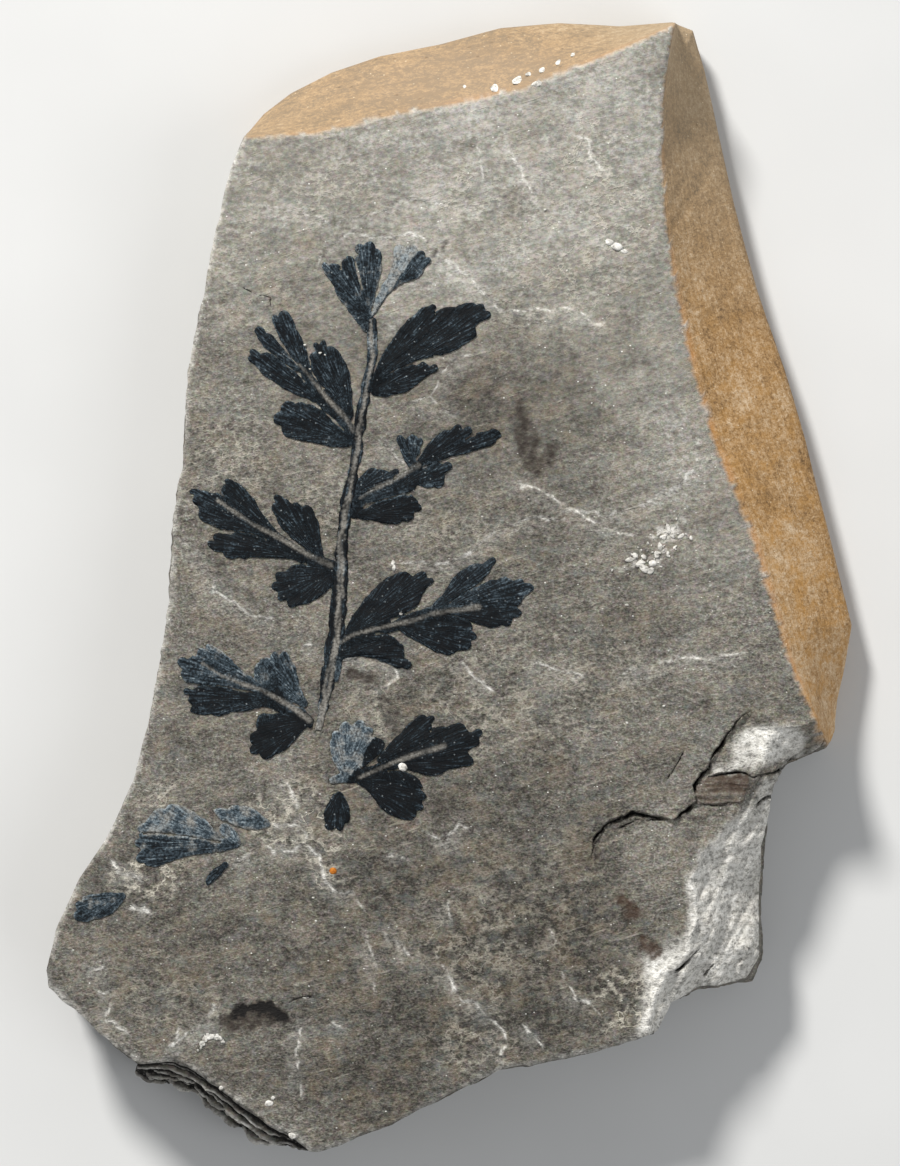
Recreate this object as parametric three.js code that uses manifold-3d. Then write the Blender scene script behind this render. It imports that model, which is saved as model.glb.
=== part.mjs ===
// A hand-sized plate of grey-brown shale with a fern frond pressed into its upper bedding
// face as black carbon film.  The plate is one solid.  Each leaf of the frond that stands
// apart from its neighbours, and the stem that carried them, is a thin film lying on it.
import * as THREE from 'three';
import { mergeVertices } from 'three/addons/utils/BufferGeometryUtils.js';
import Module from 'manifold-3d';

const wasm = await Module();
wasm.setup();

// Millimetres.  +X is to the right, +Y towards the frond's tip, +Z up off the table.
const PLATE_THICKNESS = 14;
const BELT_HEIGHT = 4.5;      // height at which the plate is widest
const FOOT_INSET = 0.7;       // the underside is this much smaller than the belt all round
const FILM_THICKNESS = 0.35;
const FILM_GAP = 0.05;        // clearance between a film and the plate it lies on
const STEM_CLEARANCE = 0.1;   // clearance between the stem and the leaves cut off against it
const OUTLINE_STEP = 0.55;    // length of the straight facets along a leaf's margin

// The edge of the flat upper bedding face, clockwise from its top left corner.
const LIP_OUTLINE = [
  [-20.4, 44.9], [-14.9, 45.2], [-9.9, 46.1], [-4.9, 47.4], [3.1, 48.8], [7.1, 49.8],
  [15.1, 53.0], [19.1, 54.6], [22.7, 56.4],
  [21.9, 52.6], [21.4, 47.6], [21.4, 42.6], [21.7, 37.6], [22.3, 32.6], [23.3, 27.6],
  [24.6, 21.6], [26.3, 15.6], [28.6, 9.6], [30.8, 4.1], [32.6, -2.4], [34.6, -8.4],
  [36.6, -12.9], [38.1, -15.9],
  [35.9, -17.1], [34.1, -17.6], [32.9, -19.2], [32.3, -21.4], [31.6, -26.0],
  [31.3, -32.0], [31.4, -37.5], [30.2, -39.8], [25.1, -40.3], [22.3, -41.8],
  [20.9, -44.6], [17.1, -46.0], [11.1, -47.3], [5.6, -48.3], [1.1, -50.5],
  [-4.9, -53.3], [-10.9, -56.0], [-13.1, -56.6],
  [-13.9, -56.6], [-15.4, -55.6], [-17.4, -54.3], [-19.5, -52.9], [-21.5, -51.5],
  [-23.5, -49.9], [-25.0, -49.0], [-26.2, -48.2], [-27.6, -47.7], [-29.3, -47.7],
  [-31.2, -47.9],
  [-34.9, -44.9], [-37.4, -42.4], [-40.1, -40.1], [-40.4, -38.6], [-39.2, -33.9],
  [-37.1, -29.4], [-34.4, -25.4], [-32.9, -22.4], [-31.4, -18.9], [-29.9, -12.9],
  [-28.9, -7.4], [-28.1, -2.4], [-27.7, 2.6], [-27.4, 8.6], [-26.6, 12.6],
  [-26.1, 21.6], [-25.4, 25.6], [-24.1, 31.6], [-22.7, 38.6], [-21.7, 42.1],
];

// The plate's widest outline.  Two joint faces slope out to it along the top and the right;
// elsewhere the broken sides fall a little inside the lip.
const BELT_OUTLINE = [
  [-20.0, 45.6], [-18.9, 48.1], [-16.1, 50.2], [-12.0, 52.3], [-7.0, 54.0], [-0.9, 55.2],
  [5.2, 56.9], [11.2, 57.4], [17.3, 57.1], [22.8, 57.5], [24.9, 56.7],
  [26.1, 52.6], [27.4, 46.5], [29.1, 38.8], [31.4, 30.2], [34.2, 22.0], [36.3, 14.9],
  [38.1, 7.7], [39.8, 1.1], [41.1, -4.0], [40.4, -8.1], [39.6, -11.6], [39.3, -14.8],
  [38.6, -16.6],
  [36.2, -17.6], [34.2, -18.2], [33.0, -19.8], [32.4, -22.0], [31.9, -26.0],
  [31.7, -32.0], [31.9, -37.6], [30.8, -40.2], [27.4, -40.6], [25.1, -40.9],
  [22.3, -42.2], [20.7, -45.1], [16.8, -46.4], [10.8, -47.5], [5.3, -48.6],
  [0.9, -50.9], [-5.1, -53.7], [-11.1, -56.4], [-13.1, -56.7],
  [-14.7, -55.2], [-17.1, -53.6], [-19.1, -52.2], [-21.1, -50.8], [-23.2, -49.3],
  [-24.8, -48.3], [-26.2, -47.6], [-27.6, -47.1], [-29.3, -47.1], [-30.7, -47.3],
  [-34.4, -44.6], [-37.0, -42.0], [-39.6, -39.9], [-39.8, -38.5], [-38.6, -33.6],
  [-36.5, -29.2], [-33.9, -25.3], [-32.3, -22.2], [-30.9, -18.8], [-29.4, -12.8],
  [-28.4, -7.4], [-27.6, -2.4], [-27.2, 2.6], [-26.9, 8.6], [-26.1, 12.6],
  [-25.6, 21.6], [-24.9, 25.6], [-23.6, 31.6], [-22.3, 38.6], [-21.2, 42.1],
];

// Both outlines are seen whole from this point inside them.
const PLATE_HEART = [0, -1.4];

// Split sheets of shale that step out below the lip at the lower left: outer margin, then
// the heights between which the sheet lies.
const LOWER_SHEETS = [
  {
    margin: [
      [-31.5, -47.6], [-32.1, -48.9], [-31.4, -49.7], [-30.0, -50.2], [-27.6, -50.3],
      [-25.6, -51.1], [-24.1, -52.2], [-22.5, -53.4], [-21.0, -54.6], [-18.9, -55.6],
      [-16.0, -56.3], [-13.3, -56.5],
    ],
    bottom: 9.0,
    top: 11.4,
  },
  {
    margin: [
      [-30.8, -47.4], [-31.3, -48.7], [-30.6, -49.9], [-27.8, -50.8], [-25.6, -51.6],
      [-24.0, -52.8], [-22.4, -53.9], [-21.2, -55.2], [-19.2, -56.5], [-17.3, -56.9],
      [-14.6, -56.8], [-12.8, -56.4],
    ],
    bottom: 5.6,
    top: 8.7,
  },
  {
    margin: [
      [-30.4, -47.2], [-30.6, -48.9], [-27.4, -50.0], [-25.3, -51.1], [-23.2, -52.9],
      [-20.8, -54.6], [-18.2, -56.0], [-14.8, -56.5], [-12.6, -56.2],
    ],
    bottom: 0,
    top: 5.3,
  },
];
const SHEET_ROOT = [[-10, -48], [-22, -42]];   // inner corners, buried in the plate

// The spall at the lower right.  A flake has left a bench just below the bedding face, and
// beyond the bench the break runs down towards the side.  Each floor is a plane.
const SPALL_BENCH = {
  outline: [
    [29.9, -12.6], [28.4, -14.2], [27.1, -16.1], [25.4, -18.8], [24.5, -20.0],
    [24.7, -21.5], [23.8, -22.6], [22.4, -23.4], [20.7, -23.2], [18.4, -22.7],
    [15.6, -24.0], [14.5, -25.6], [14.4, -28.8], [15.4, -30.8], [18.4, -31.7],
    [19.4, -34.0], [21.2, -35.6], [20.8, -38.0], [21.5, -43.0], [24.0, -48.0],
    [45.0, -48.0], [45.0, -12.0], [37.0, -13.5], [34.9, -14.2], [31.2, -14.2],
  ],
  floor: (x, y) => PLATE_THICKNESS - 0.7,
};
const SPALL_SLOPE = {
  outline: [
    [34.9, -14.3], [32.3, -15.8], [30.1, -19.1], [28.6, -22.1], [27.7, -24.5],
    [24.2, -30.8], [22.9, -34.0], [20.8, -40.8], [22.0, -48.0], [45.0, -48.0],
    [45.0, -12.0], [37.0, -13.6],
  ],
  floor: (x, y) => PLATE_THICKNESS - 1.1 - 0.85 * (0.892 * (x - 34.2) - 0.451 * (y + 14.3)),
};

// Centre line of the frond's main stem from below its tip leaf down to where it fades, and
// its width at the two ends.
const STEM_LINE = [
  [-7.7, 26.8], [-7.7, 24.4], [-7.7, 22.6], [-8.1, 20.8], [-8.4, 19.0], [-8.7, 17.2],
  [-9.0, 15.2], [-9.6, 11.2], [-10.3, 7.6], [-10.7, 4.6], [-10.8, 1.6], [-11.0, -0.9],
  [-11.2, -3.4], [-11.6, -5.9], [-12.4, -10.9], [-13.1, -14.9],
];
const STEM_WIDTH_TOP = 0.75;
const STEM_WIDTH_FOOT = 1.5;

// Margins of the leaflets that make up each leaf.  A margin is a closed smooth curve
// through these points; the last loop of a leaf is the stalk that joins its leaflets.
const LEAF_MARGINS = {
  tip_leaf: [
    [
      [-12.6, 32.4], [-11.5, 32.2], [-10.6, 31.5], [-9.9, 30.2], [-9.1, 28.8], [-8.4, 27.6],
      [-7.9, 26.8], [-8.2, 25.5], [-8.8, 26.0], [-9.9, 27.6], [-10.9, 28.8], [-11.6, 30.3],
      [-12.2, 31.5],
    ],
    [
      [-10.4, 33.0], [-9.7, 32.6], [-9.2, 31.6], [-8.8, 30.0], [-8.2, 28.0], [-7.9, 26.8],
      [-8.6, 28.0], [-9.5, 29.4], [-10.3, 30.6], [-10.5, 32.0],
    ],
    [
      [-8.9, 34.2], [-8.1, 34.3], [-7.2, 34.0], [-6.8, 33.1], [-6.9, 31.8], [-7.2, 30.4],
      [-7.6, 28.8], [-7.9, 26.8], [-8.4, 28.4], [-8.8, 30.2], [-9.2, 31.8], [-9.3, 33.4],
    ],
    [
      [-5.2, 34.0], [-3.9, 34.0], [-2.9, 33.4], [-2.0, 32.6], [-2.2, 31.9], [-3.2, 30.9],
      [-4.7, 30.4], [-5.9, 29.6], [-6.9, 28.2], [-7.9, 26.8], [-7.2, 28.8], [-6.1, 30.8],
      [-5.5, 32.4],
    ],
    [
      [-8.2, 25.6], [-7.9, 27.2], [-7.5, 26.2], [-7.7, 24.8], [-8.0, 24.8],
    ],
  ],
  left_leaf_1: [
    [
      [-17.5, 27.1], [-16.9, 27.3], [-16.1, 27.2], [-15.7, 26.5], [-15.3, 25.6], [-14.8, 24.6],
      [-14.3, 23.2], [-13.9, 21.6], [-14.1, 20.8], [-14.9, 21.8], [-15.7, 23.0], [-16.4, 24.2],
      [-17.0, 25.2], [-17.3, 26.2],
    ],
    [
      [-19.7, 25.5], [-18.9, 25.7], [-18.1, 25.4], [-17.4, 24.6], [-16.8, 23.8], [-15.7, 22.6],
      [-14.7, 21.6], [-15.7, 21.8], [-16.9, 22.8], [-18.1, 23.8], [-19.0, 24.5],
    ],
    [
      [-20.0, 23.4], [-19.1, 23.5], [-18.1, 23.2], [-17.1, 22.6], [-16.0, 21.8], [-14.9, 20.8],
      [-13.9, 19.8], [-12.9, 19.0], [-13.1, 18.4], [-14.1, 18.9], [-15.3, 19.3], [-16.5, 19.9],
      [-17.8, 20.8], [-18.9, 21.6], [-19.8, 22.6],
    ],
    [
      [-13.6, 23.6], [-13.1, 24.4], [-12.4, 24.2], [-11.4, 23.5], [-10.6, 22.5], [-10.1, 21.3],
      [-9.9, 19.8], [-9.8, 18.4], [-9.8, 16.6], [-10.6, 17.0], [-11.6, 18.3], [-12.4, 19.5],
      [-13.1, 20.7], [-13.7, 22.0],
    ],
    [
      [-17.3, 17.0], [-16.9, 17.8], [-15.9, 18.4], [-14.7, 18.2], [-13.3, 17.8], [-12.2, 17.1],
      [-11.1, 16.1], [-10.1, 15.2], [-9.5, 14.6], [-9.9, 14.1], [-11.3, 14.0], [-12.9, 14.3],
      [-14.5, 14.6], [-15.9, 15.0], [-16.9, 15.8],
    ],
    [
      [-14.8, 21.8], [-13.9, 21.2], [-12.5, 19.6], [-11.1, 18.0], [-9.9, 16.4], [-9.3, 15.4],
      [-9.5, 14.4], [-10.5, 15.6], [-11.9, 17.0], [-13.3, 18.6], [-14.3, 20.2],
    ],
  ],
  right_leaf_1: [
    [
      [-7.2, 21.6], [-6.8, 22.6], [-6.1, 23.8], [-5.3, 25.0], [-4.3, 26.2], [-3.3, 27.0],
      [-2.2, 27.8], [-1.3, 28.0], [-1.3, 27.4], [-1.9, 26.4], [-2.6, 25.2], [-3.7, 23.6],
      [-5.1, 22.4], [-6.5, 21.4],
    ],
    [
      [-7.2, 20.7], [-6.1, 22.0], [-4.7, 23.6], [-3.3, 25.0], [-2.1, 26.4], [-0.9, 27.4],
      [0.7, 27.8], [1.9, 28.1], [2.9, 28.3], [3.1, 27.9], [3.9, 27.6], [3.8, 26.8], [3.1, 26.2],
      [2.7, 25.6], [2.3, 24.7], [1.5, 24.2], [0.3, 23.6], [-1.1, 23.2], [-2.7, 22.8], [-4.3, 22.2],
      [-5.7, 21.6], [-6.9, 20.7],
    ],
    [
      [-7.7, 19.4], [-7.1, 20.2], [-6.1, 21.0], [-4.9, 21.6], [-3.5, 22.0], [-2.1, 22.2],
      [-1.2, 22.0], [-1.7, 21.4], [-2.7, 20.8], [-3.5, 20.1], [-4.5, 19.5], [-5.7, 19.2],
      [-6.9, 19.0],
    ],
    [
      [-7.9, 19.3], [-7.6, 20.2], [-7.2, 21.6], [-6.7, 21.8], [-6.5, 20.8], [-6.8, 19.6],
      [-7.3, 19.1],
    ],
  ],
  left_leaf_2: [
    [
      [-25.9, 9.4], [-25.3, 9.7], [-24.1, 9.4], [-23.0, 9.1], [-22.0, 8.3], [-21.0, 7.5],
      [-19.9, 6.8], [-18.6, 6.0], [-17.9, 5.0], [-19.4, 5.3], [-21.1, 5.6], [-22.9, 5.9],
      [-24.1, 6.5], [-24.9, 6.8], [-25.1, 7.6], [-25.5, 8.1], [-25.4, 8.7],
    ],
    [
      [-22.4, 10.6], [-21.4, 10.2], [-20.4, 9.5], [-19.5, 8.5], [-18.9, 7.3], [-18.0, 6.2],
      [-17.1, 5.0], [-17.9, 5.0], [-19.3, 6.0], [-20.6, 7.0], [-21.6, 7.8], [-22.3, 8.8],
      [-22.6, 10.0],
    ],
    [
      [-23.9, 4.5], [-23.1, 5.2], [-21.9, 5.3], [-20.4, 5.2], [-18.9, 4.8], [-17.4, 4.3],
      [-15.9, 3.6], [-14.4, 3.0], [-15.4, 2.8], [-17.4, 3.0], [-19.4, 3.0], [-21.4, 2.9],
      [-22.8, 3.2], [-23.6, 3.7],
    ],
    [
      [-17.6, 8.3], [-17.1, 9.1], [-16.1, 8.8], [-15.7, 8.1], [-14.4, 8.1], [-13.5, 7.1],
      [-13.1, 5.8], [-12.9, 4.3], [-12.7, 2.9], [-12.9, 2.6], [-13.9, 3.6], [-14.9, 4.3],
      [-16.1, 5.3], [-16.9, 6.3], [-17.5, 7.5],
    ],
    [
      [-17.6, 0.4], [-17.1, 1.1], [-16.1, 1.7], [-14.7, 2.1], [-13.2, 2.1], [-11.9, 2.2],
      [-11.3, 1.6], [-11.4, 0.6], [-12.4, -0.5], [-13.7, -1.4], [-14.9, -2.0], [-16.1, -1.8],
      [-17.1, -0.9],
    ],
    [
      [-19.6, 6.5], [-17.9, 5.6], [-16.1, 4.5], [-14.2, 3.4], [-12.4, 2.7], [-11.3, 2.3],
      [-11.2, 1.5], [-12.4, 1.7], [-13.9, 2.1], [-15.7, 2.9], [-17.4, 4.1], [-18.9, 5.2],
    ],
  ],
  right_leaf_2: [
    [
      [-5.3, 14.4], [-4.9, 14.9], [-3.9, 14.8], [-2.9, 15.0], [-2.7, 14.4], [-3.1, 13.9],
      [-2.9, 13.4], [-3.5, 12.8], [-3.1, 12.0], [-3.9, 11.8], [-4.3, 12.6], [-4.7, 13.4],
    ],
    [
      [-3.3, 12.2], [-2.6, 13.2], [-2.0, 14.2], [-1.1, 15.0], [-0.1, 15.6], [0.9, 16.0],
      [1.3, 15.7], [2.0, 15.8], [1.9, 15.0], [1.1, 14.3], [-0.3, 13.4], [-1.7, 12.6],
    ],
    [
      [-3.1, 12.0], [-1.7, 12.7], [-0.1, 13.6], [1.5, 14.6], [2.9, 15.3], [4.0, 15.6], [4.3, 15.4],
      [5.5, 15.2], [4.9, 14.7], [4.3, 14.2], [3.5, 14.0], [1.9, 13.5], [0.3, 13.1], [-1.3, 12.5],
      [-2.3, 12.0],
    ],
    [
      [-4.5, 10.8], [-3.7, 11.3], [-2.7, 11.8], [-1.5, 12.2], [0.0, 12.3], [-0.1, 11.3],
      [-0.5, 10.6], [-0.9, 9.9], [-2.1, 10.1], [-3.3, 10.0], [-4.5, 9.8], [-5.7, 9.4],
    ],
    [
      [-8.8, 8.5], [-7.9, 9.0], [-6.7, 9.6], [-5.5, 9.8], [-4.3, 10.0], [-2.9, 10.0], [-4.1, 9.5],
      [-5.7, 9.0], [-7.3, 8.6], [-8.3, 8.4],
    ],
    [
      [-9.5, 9.4], [-9.2, 10.2], [-8.5, 11.1], [-7.9, 11.7], [-6.9, 11.5], [-5.9, 11.6],
      [-5.0, 11.4], [-5.5, 10.7], [-6.7, 10.0], [-8.1, 9.6], [-9.1, 9.1],
    ],
    [
      [-9.8, 7.3], [-8.4, 7.6], [-7.3, 8.2], [-6.1, 8.7], [-4.9, 9.0], [-3.7, 8.9], [-2.9, 8.4],
      [-3.1, 7.6], [-3.9, 6.8], [-5.1, 6.4], [-6.5, 6.4], [-7.9, 6.7], [-8.9, 6.8],
    ],
    [
      [-9.7, 9.0], [-8.9, 9.0], [-7.7, 9.6], [-6.1, 10.4], [-4.3, 11.2], [-3.1, 12.1],
      [-2.7, 11.8], [-3.9, 10.8], [-5.7, 10.0], [-7.3, 9.4], [-8.5, 8.4], [-9.1, 7.3], [-9.7, 6.8],
      [-10.0, 7.2], [-9.9, 8.2],
    ],
  ],
  left_leaf_3: [
    [
      [-26.8, -7.0], [-26.0, -7.1], [-25.1, -6.6], [-24.1, -6.0], [-23.0, -6.5], [-22.0, -7.4],
      [-20.9, -8.5], [-19.6, -9.4], [-18.4, -10.2], [-19.4, -10.4], [-21.1, -10.1], [-22.9, -9.8],
      [-24.4, -9.8], [-25.6, -9.6], [-26.5, -9.1], [-26.9, -8.2],
    ],
    [
      [-26.4, -10.5], [-25.1, -10.0], [-23.6, -10.1], [-21.9, -10.4], [-20.1, -10.8],
      [-17.9, -11.0], [-18.4, -11.8], [-20.1, -12.3], [-21.8, -12.5], [-23.1, -13.0],
      [-24.4, -13.0], [-25.4, -12.8], [-25.9, -12.0], [-25.8, -11.3],
    ],
    [
      [-19.3, -8.2], [-18.5, -7.3], [-17.5, -6.8], [-16.6, -6.7], [-15.9, -7.1], [-15.5, -8.2],
      [-15.2, -9.4], [-14.8, -10.7], [-14.2, -11.8], [-14.9, -12.0], [-16.1, -11.5],
      [-17.5, -10.9], [-18.6, -10.3], [-19.3, -9.3],
    ],
    [
      [-17.9, -13.0], [-16.6, -12.8], [-15.2, -12.8], [-13.9, -13.3], [-14.2, -13.9],
      [-15.2, -14.9], [-16.1, -16.0], [-17.4, -16.9], [-18.6, -17.1], [-19.6, -16.6],
      [-19.9, -15.8], [-19.5, -14.7], [-19.1, -13.8], [-18.8, -12.9],
    ],
    [
      [-19.6, -9.7], [-18.1, -10.4], [-16.6, -11.2], [-15.2, -12.0], [-13.9, -13.0],
      [-13.2, -13.9], [-13.4, -14.7], [-14.3, -13.7], [-15.7, -13.0], [-17.4, -12.3],
      [-18.6, -11.7], [-19.3, -10.7],
    ],
  ],
  right_leaf_3: [
    [
      [-10.4, -4.9], [-9.7, -3.4], [-8.8, -2.1], [-7.9, -0.9], [-6.9, 0.2], [-5.7, 1.0],
      [-4.3, 1.2], [-2.9, 1.2], [-2.0, 0.9], [-1.8, 0.4], [-2.4, -0.7], [-3.4, -1.9], [-4.7, -2.9],
      [-6.4, -3.7], [-8.2, -4.4], [-9.5, -5.0],
    ],
    [
      [-2.0, -2.5], [-1.0, -1.4], [-0.1, -0.3], [0.8, 1.0], [2.1, 1.9], [3.4, 2.5], [4.4, 2.8],
      [4.3, 2.0], [3.5, 1.0], [2.2, -0.1], [0.8, -1.0], [-0.4, -2.0],
    ],
    [
      [-0.9, -2.4], [0.6, -1.4], [2.1, -0.5], [3.9, 0.3], [5.3, 0.7], [7.4, 0.8], [7.2, 0.1],
      [8.4, -0.1], [8.3, -0.8], [7.1, -1.4], [7.0, -2.4], [6.9, -3.0], [5.6, -3.9], [4.1, -4.0],
      [2.4, -3.5], [0.8, -2.9],
    ],
    [
      [-5.3, -3.8], [-3.9, -3.6], [-2.1, -3.3], [-0.1, -3.0], [1.1, -3.2], [2.1, -3.9],
      [2.6, -5.0], [2.0, -6.0], [0.6, -6.7], [-0.9, -6.6], [-2.1, -6.0], [-3.4, -5.3], [-4.7, -4.5],
    ],
    [
      [-11.3, -6.8], [-10.7, -6.0], [-9.4, -5.4], [-8.2, -5.0], [-6.7, -4.8], [-5.5, -5.3],
      [-4.7, -6.3], [-4.0, -7.7], [-4.3, -8.3], [-5.3, -8.2], [-6.4, -7.5], [-7.9, -7.0],
      [-9.4, -7.0], [-10.7, -7.2], [-11.2, -7.9], [-11.5, -7.4],
    ],
    [
      [-11.8, -7.7], [-11.2, -7.0], [-10.9, -7.9], [-11.2, -9.2], [-11.7, -10.2], [-12.0, -9.4],
    ],
    [
      [-11.1, -5.9], [-10.7, -5.2], [-9.4, -4.7], [-7.9, -4.2], [-6.2, -3.6], [-4.7, -3.1],
      [-2.9, -2.5], [-0.9, -2.0], [-0.1, -2.9], [-1.9, -3.4], [-3.9, -4.0], [-5.9, -4.5],
      [-7.7, -4.9], [-9.4, -5.7], [-10.4, -6.4],
    ],
  ],
  left_leaf_4: [
    [
      [-30.9, -24.0], [-30.3, -23.3], [-29.0, -22.5], [-27.9, -22.0], [-26.8, -22.1],
      [-25.6, -22.7], [-24.5, -23.6], [-23.4, -24.6], [-22.0, -25.8], [-23.7, -25.4],
      [-25.9, -24.9], [-27.9, -24.8], [-29.6, -24.6], [-30.8, -24.6],
    ],
    [
      [-31.1, -25.0], [-29.4, -24.7], [-27.6, -24.9], [-25.9, -25.2], [-24.1, -25.5],
      [-22.6, -25.7], [-21.1, -26.0], [-22.6, -26.4], [-24.4, -26.6], [-26.4, -27.0],
      [-28.1, -27.5], [-29.6, -27.9], [-30.9, -27.7], [-31.0, -26.4],
    ],
    [
      [-23.1, -23.8], [-22.4, -23.9], [-21.5, -24.4], [-21.0, -25.3], [-21.0, -26.0],
      [-21.9, -25.9], [-22.6, -25.1],
    ],
  ],
  right_leaf_4: [
    [
      [-7.2, -17.5], [-6.2, -16.3], [-5.0, -15.0], [-3.8, -13.8], [-2.5, -12.9], [-1.7, -13.1],
      [-1.6, -13.9], [-2.1, -14.8], [-3.1, -15.8], [-4.4, -16.6], [-5.9, -17.5],
    ],
    [
      [-6.2, -17.8], [-4.7, -16.6], [-3.1, -15.5], [-1.6, -14.5], [-0.1, -14.2], [1.0, -13.8],
      [1.9, -14.4], [3.0, -14.4], [3.2, -15.2], [2.5, -16.0], [2.0, -16.6], [2.3, -17.4],
      [1.9, -18.0], [0.3, -18.2], [-0.7, -18.6], [-1.6, -18.9], [-3.1, -18.5], [-4.7, -18.1],
    ],
    [
      [-9.5, -19.3], [-8.2, -18.8], [-6.4, -18.6], [-4.7, -18.7], [-3.3, -19.3], [-2.6, -20.4],
      [-2.6, -21.6], [-3.3, -22.8], [-4.4, -23.2], [-5.4, -23.0], [-6.4, -22.4], [-7.3, -21.3],
      [-8.3, -20.1],
    ],
    [
      [-11.9, -19.3], [-10.7, -18.8], [-9.2, -18.5], [-7.4, -18.0], [-5.9, -17.4], [-4.9, -17.9],
      [-6.4, -18.6], [-7.9, -19.3], [-9.4, -19.6], [-10.9, -19.5], [-11.8, -19.7],
    ],
    [
      [-11.8, -15.9], [-11.5, -14.8], [-10.7, -14.0], [-9.7, -13.7], [-8.5, -13.7], [-7.8, -14.4],
      [-7.5, -15.3], [-6.7, -15.4], [-6.6, -16.1], [-7.4, -17.0], [-8.5, -17.9], [-9.4, -18.8],
      [-10.4, -19.0], [-11.5, -17.4],
    ],
  ],
  left_leaf_5: [
    [
      [-37.4, -32.5], [-37.1, -31.8], [-36.3, -31.1], [-34.9, -30.9], [-33.5, -30.8],
      [-32.4, -30.8], [-32.7, -31.4], [-33.5, -32.4], [-34.8, -33.1], [-36.4, -33.4],
      [-37.2, -33.2],
    ],
  ],
  right_leaf_5: [
    [
      [-11.0, -20.6], [-10.4, -21.5], [-10.0, -22.8], [-10.2, -23.7], [-10.8, -24.2],
      [-11.4, -24.5], [-12.0, -24.1], [-12.6, -24.0], [-12.4, -22.9], [-11.9, -21.6],
    ],
  ],
  leaf_scrap: [
    [
      [-23.9, -22.4], [-22.6, -22.4], [-21.4, -22.1], [-19.9, -22.2], [-18.9, -23.0],
      [-17.9, -23.9], [-19.1, -24.2], [-20.5, -24.1], [-21.6, -23.7], [-22.9, -23.1],
    ],
  ],
  stem_scrap: [
    [
      [-24.3, -30.2], [-24.2, -29.5], [-23.8, -28.8], [-23.0, -28.1], [-22.1, -27.6],
      [-22.6, -28.4], [-23.4, -29.2], [-23.9, -29.9],
    ],
  ],};

const SHALE = { color: 0x8b867b, roughness: 0.92, metalness: 0 };
const CARBON = { color: 0x30363a, roughness: 0.6, metalness: 0 };

// ---- solids ---------------------------------------------------------------------------

function toSolid(geometry) {
  const bare = geometry.index ? geometry.toNonIndexed() : geometry.clone();
  bare.deleteAttribute('normal');
  bare.deleteAttribute('uv');
  const welded = mergeVertices(bare, 1e-4);
  return new wasm.Manifold(new wasm.Mesh({
    numProp: 3,
    vertProperties: new Float32Array(welded.attributes.position.array),
    triVerts: new Uint32Array(welded.index.array),
  }));
}

function toGeometry(solid) {
  const mesh = solid.getMesh();
  const geometry = new THREE.BufferGeometry();
  geometry.setAttribute('position', new THREE.BufferAttribute(mesh.vertProperties, 3));
  geometry.setIndex(new THREE.BufferAttribute(mesh.triVerts, 1));
  return geometry;
}

// Joins rings of equal length, lowest first, into a closed solid.
function loft(rings) {
  const count = rings[0].length;
  const flat = rings[0].map(([x, y]) => new THREE.Vector2(x, y));
  const positions = rings.flat(2);
  const index = [];
  rings.slice(1).forEach((_, level) => {
    for (let i = 0; i < count; i++) {
      const a = level * count + i;
      const b = level * count + (i + 1) % count;
      index.push(a, b, b + count, a, b + count, a + count);
    }
  });
  const topStart = (rings.length - 1) * count;
  const topFlat = rings[rings.length - 1].map(([x, y]) => new THREE.Vector2(x, y));
  THREE.ShapeUtils.triangulateShape(flat, []).forEach(([a, b, c]) => index.push(a, c, b));
  THREE.ShapeUtils.triangulateShape(topFlat, []).forEach(([a, b, c]) => {
    index.push(topStart + a, topStart + b, topStart + c);
  });
  const geometry = new THREE.BufferGeometry();
  geometry.setAttribute('position', new THREE.Float32BufferAttribute(positions, 3));
  geometry.setIndex(index);
  return toSolid(geometry);
}

// A flat prism.  Either face may follow a plane given as a function of x and y.
function prism(outline, bottom, top) {
  const height = (level, x, y) => (typeof level === 'function' ? level(x, y) : level);
  const loop = outline.map(([x, y]) => new THREE.Vector2(x, y));
  const turned = THREE.ShapeUtils.isClockWise(loop) ? [...outline].reverse() : outline;
  return loft([
    turned.map(([x, y]) => [x, y, height(bottom, x, y)]),
    turned.map(([x, y]) => [x, y, height(top, x, y)]),
  ]);
}

// ---- the plate ------------------------------------------------------------------------

function bearing([x, y]) {
  return Math.atan2(y - PLATE_HEART[1], x - PLATE_HEART[0]);
}

// Where the ray from the plate's heart along `angle` leaves the outline.
function edgePoint(outline, angle) {
  const dx = Math.cos(angle);
  const dy = Math.sin(angle);
  let reach = 0;
  outline.forEach(([ax, ay], i) => {
    const [bx, by] = outline[(i + 1) % outline.length];
    const ex = bx - ax;
    const ey = by - ay;
    const wx = ax - PLATE_HEART[0];
    const wy = ay - PLATE_HEART[1];
    const cross = dx * ey - dy * ex;
    const along = (wx * ey - wy * ex) / cross;
    const share = (wx * dy - wy * dx) / cross;
    if (share >= -1e-9 && share <= 1 + 1e-9 && along > 0) reach = Math.max(reach, along);
  });
  return [PLATE_HEART[0] + dx * reach, PLATE_HEART[1] + dy * reach];
}

function plateRing(angles, height) {
  return angles.map((angle) => {
    const lip = edgePoint(LIP_OUTLINE, angle);
    const belt = edgePoint(BELT_OUTLINE, angle);
    const rise = Math.max(0, height - BELT_HEIGHT) / (PLATE_THICKNESS - BELT_HEIGHT);
    const tuck = FOOT_INSET * Math.max(0, 1 - height / BELT_HEIGHT) ** 2;
    return [
      belt[0] + (lip[0] - belt[0]) * rise - tuck * Math.cos(angle),
      belt[1] + (lip[1] - belt[1]) * rise - tuck * Math.sin(angle),
      height,
    ];
  });
}

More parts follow.
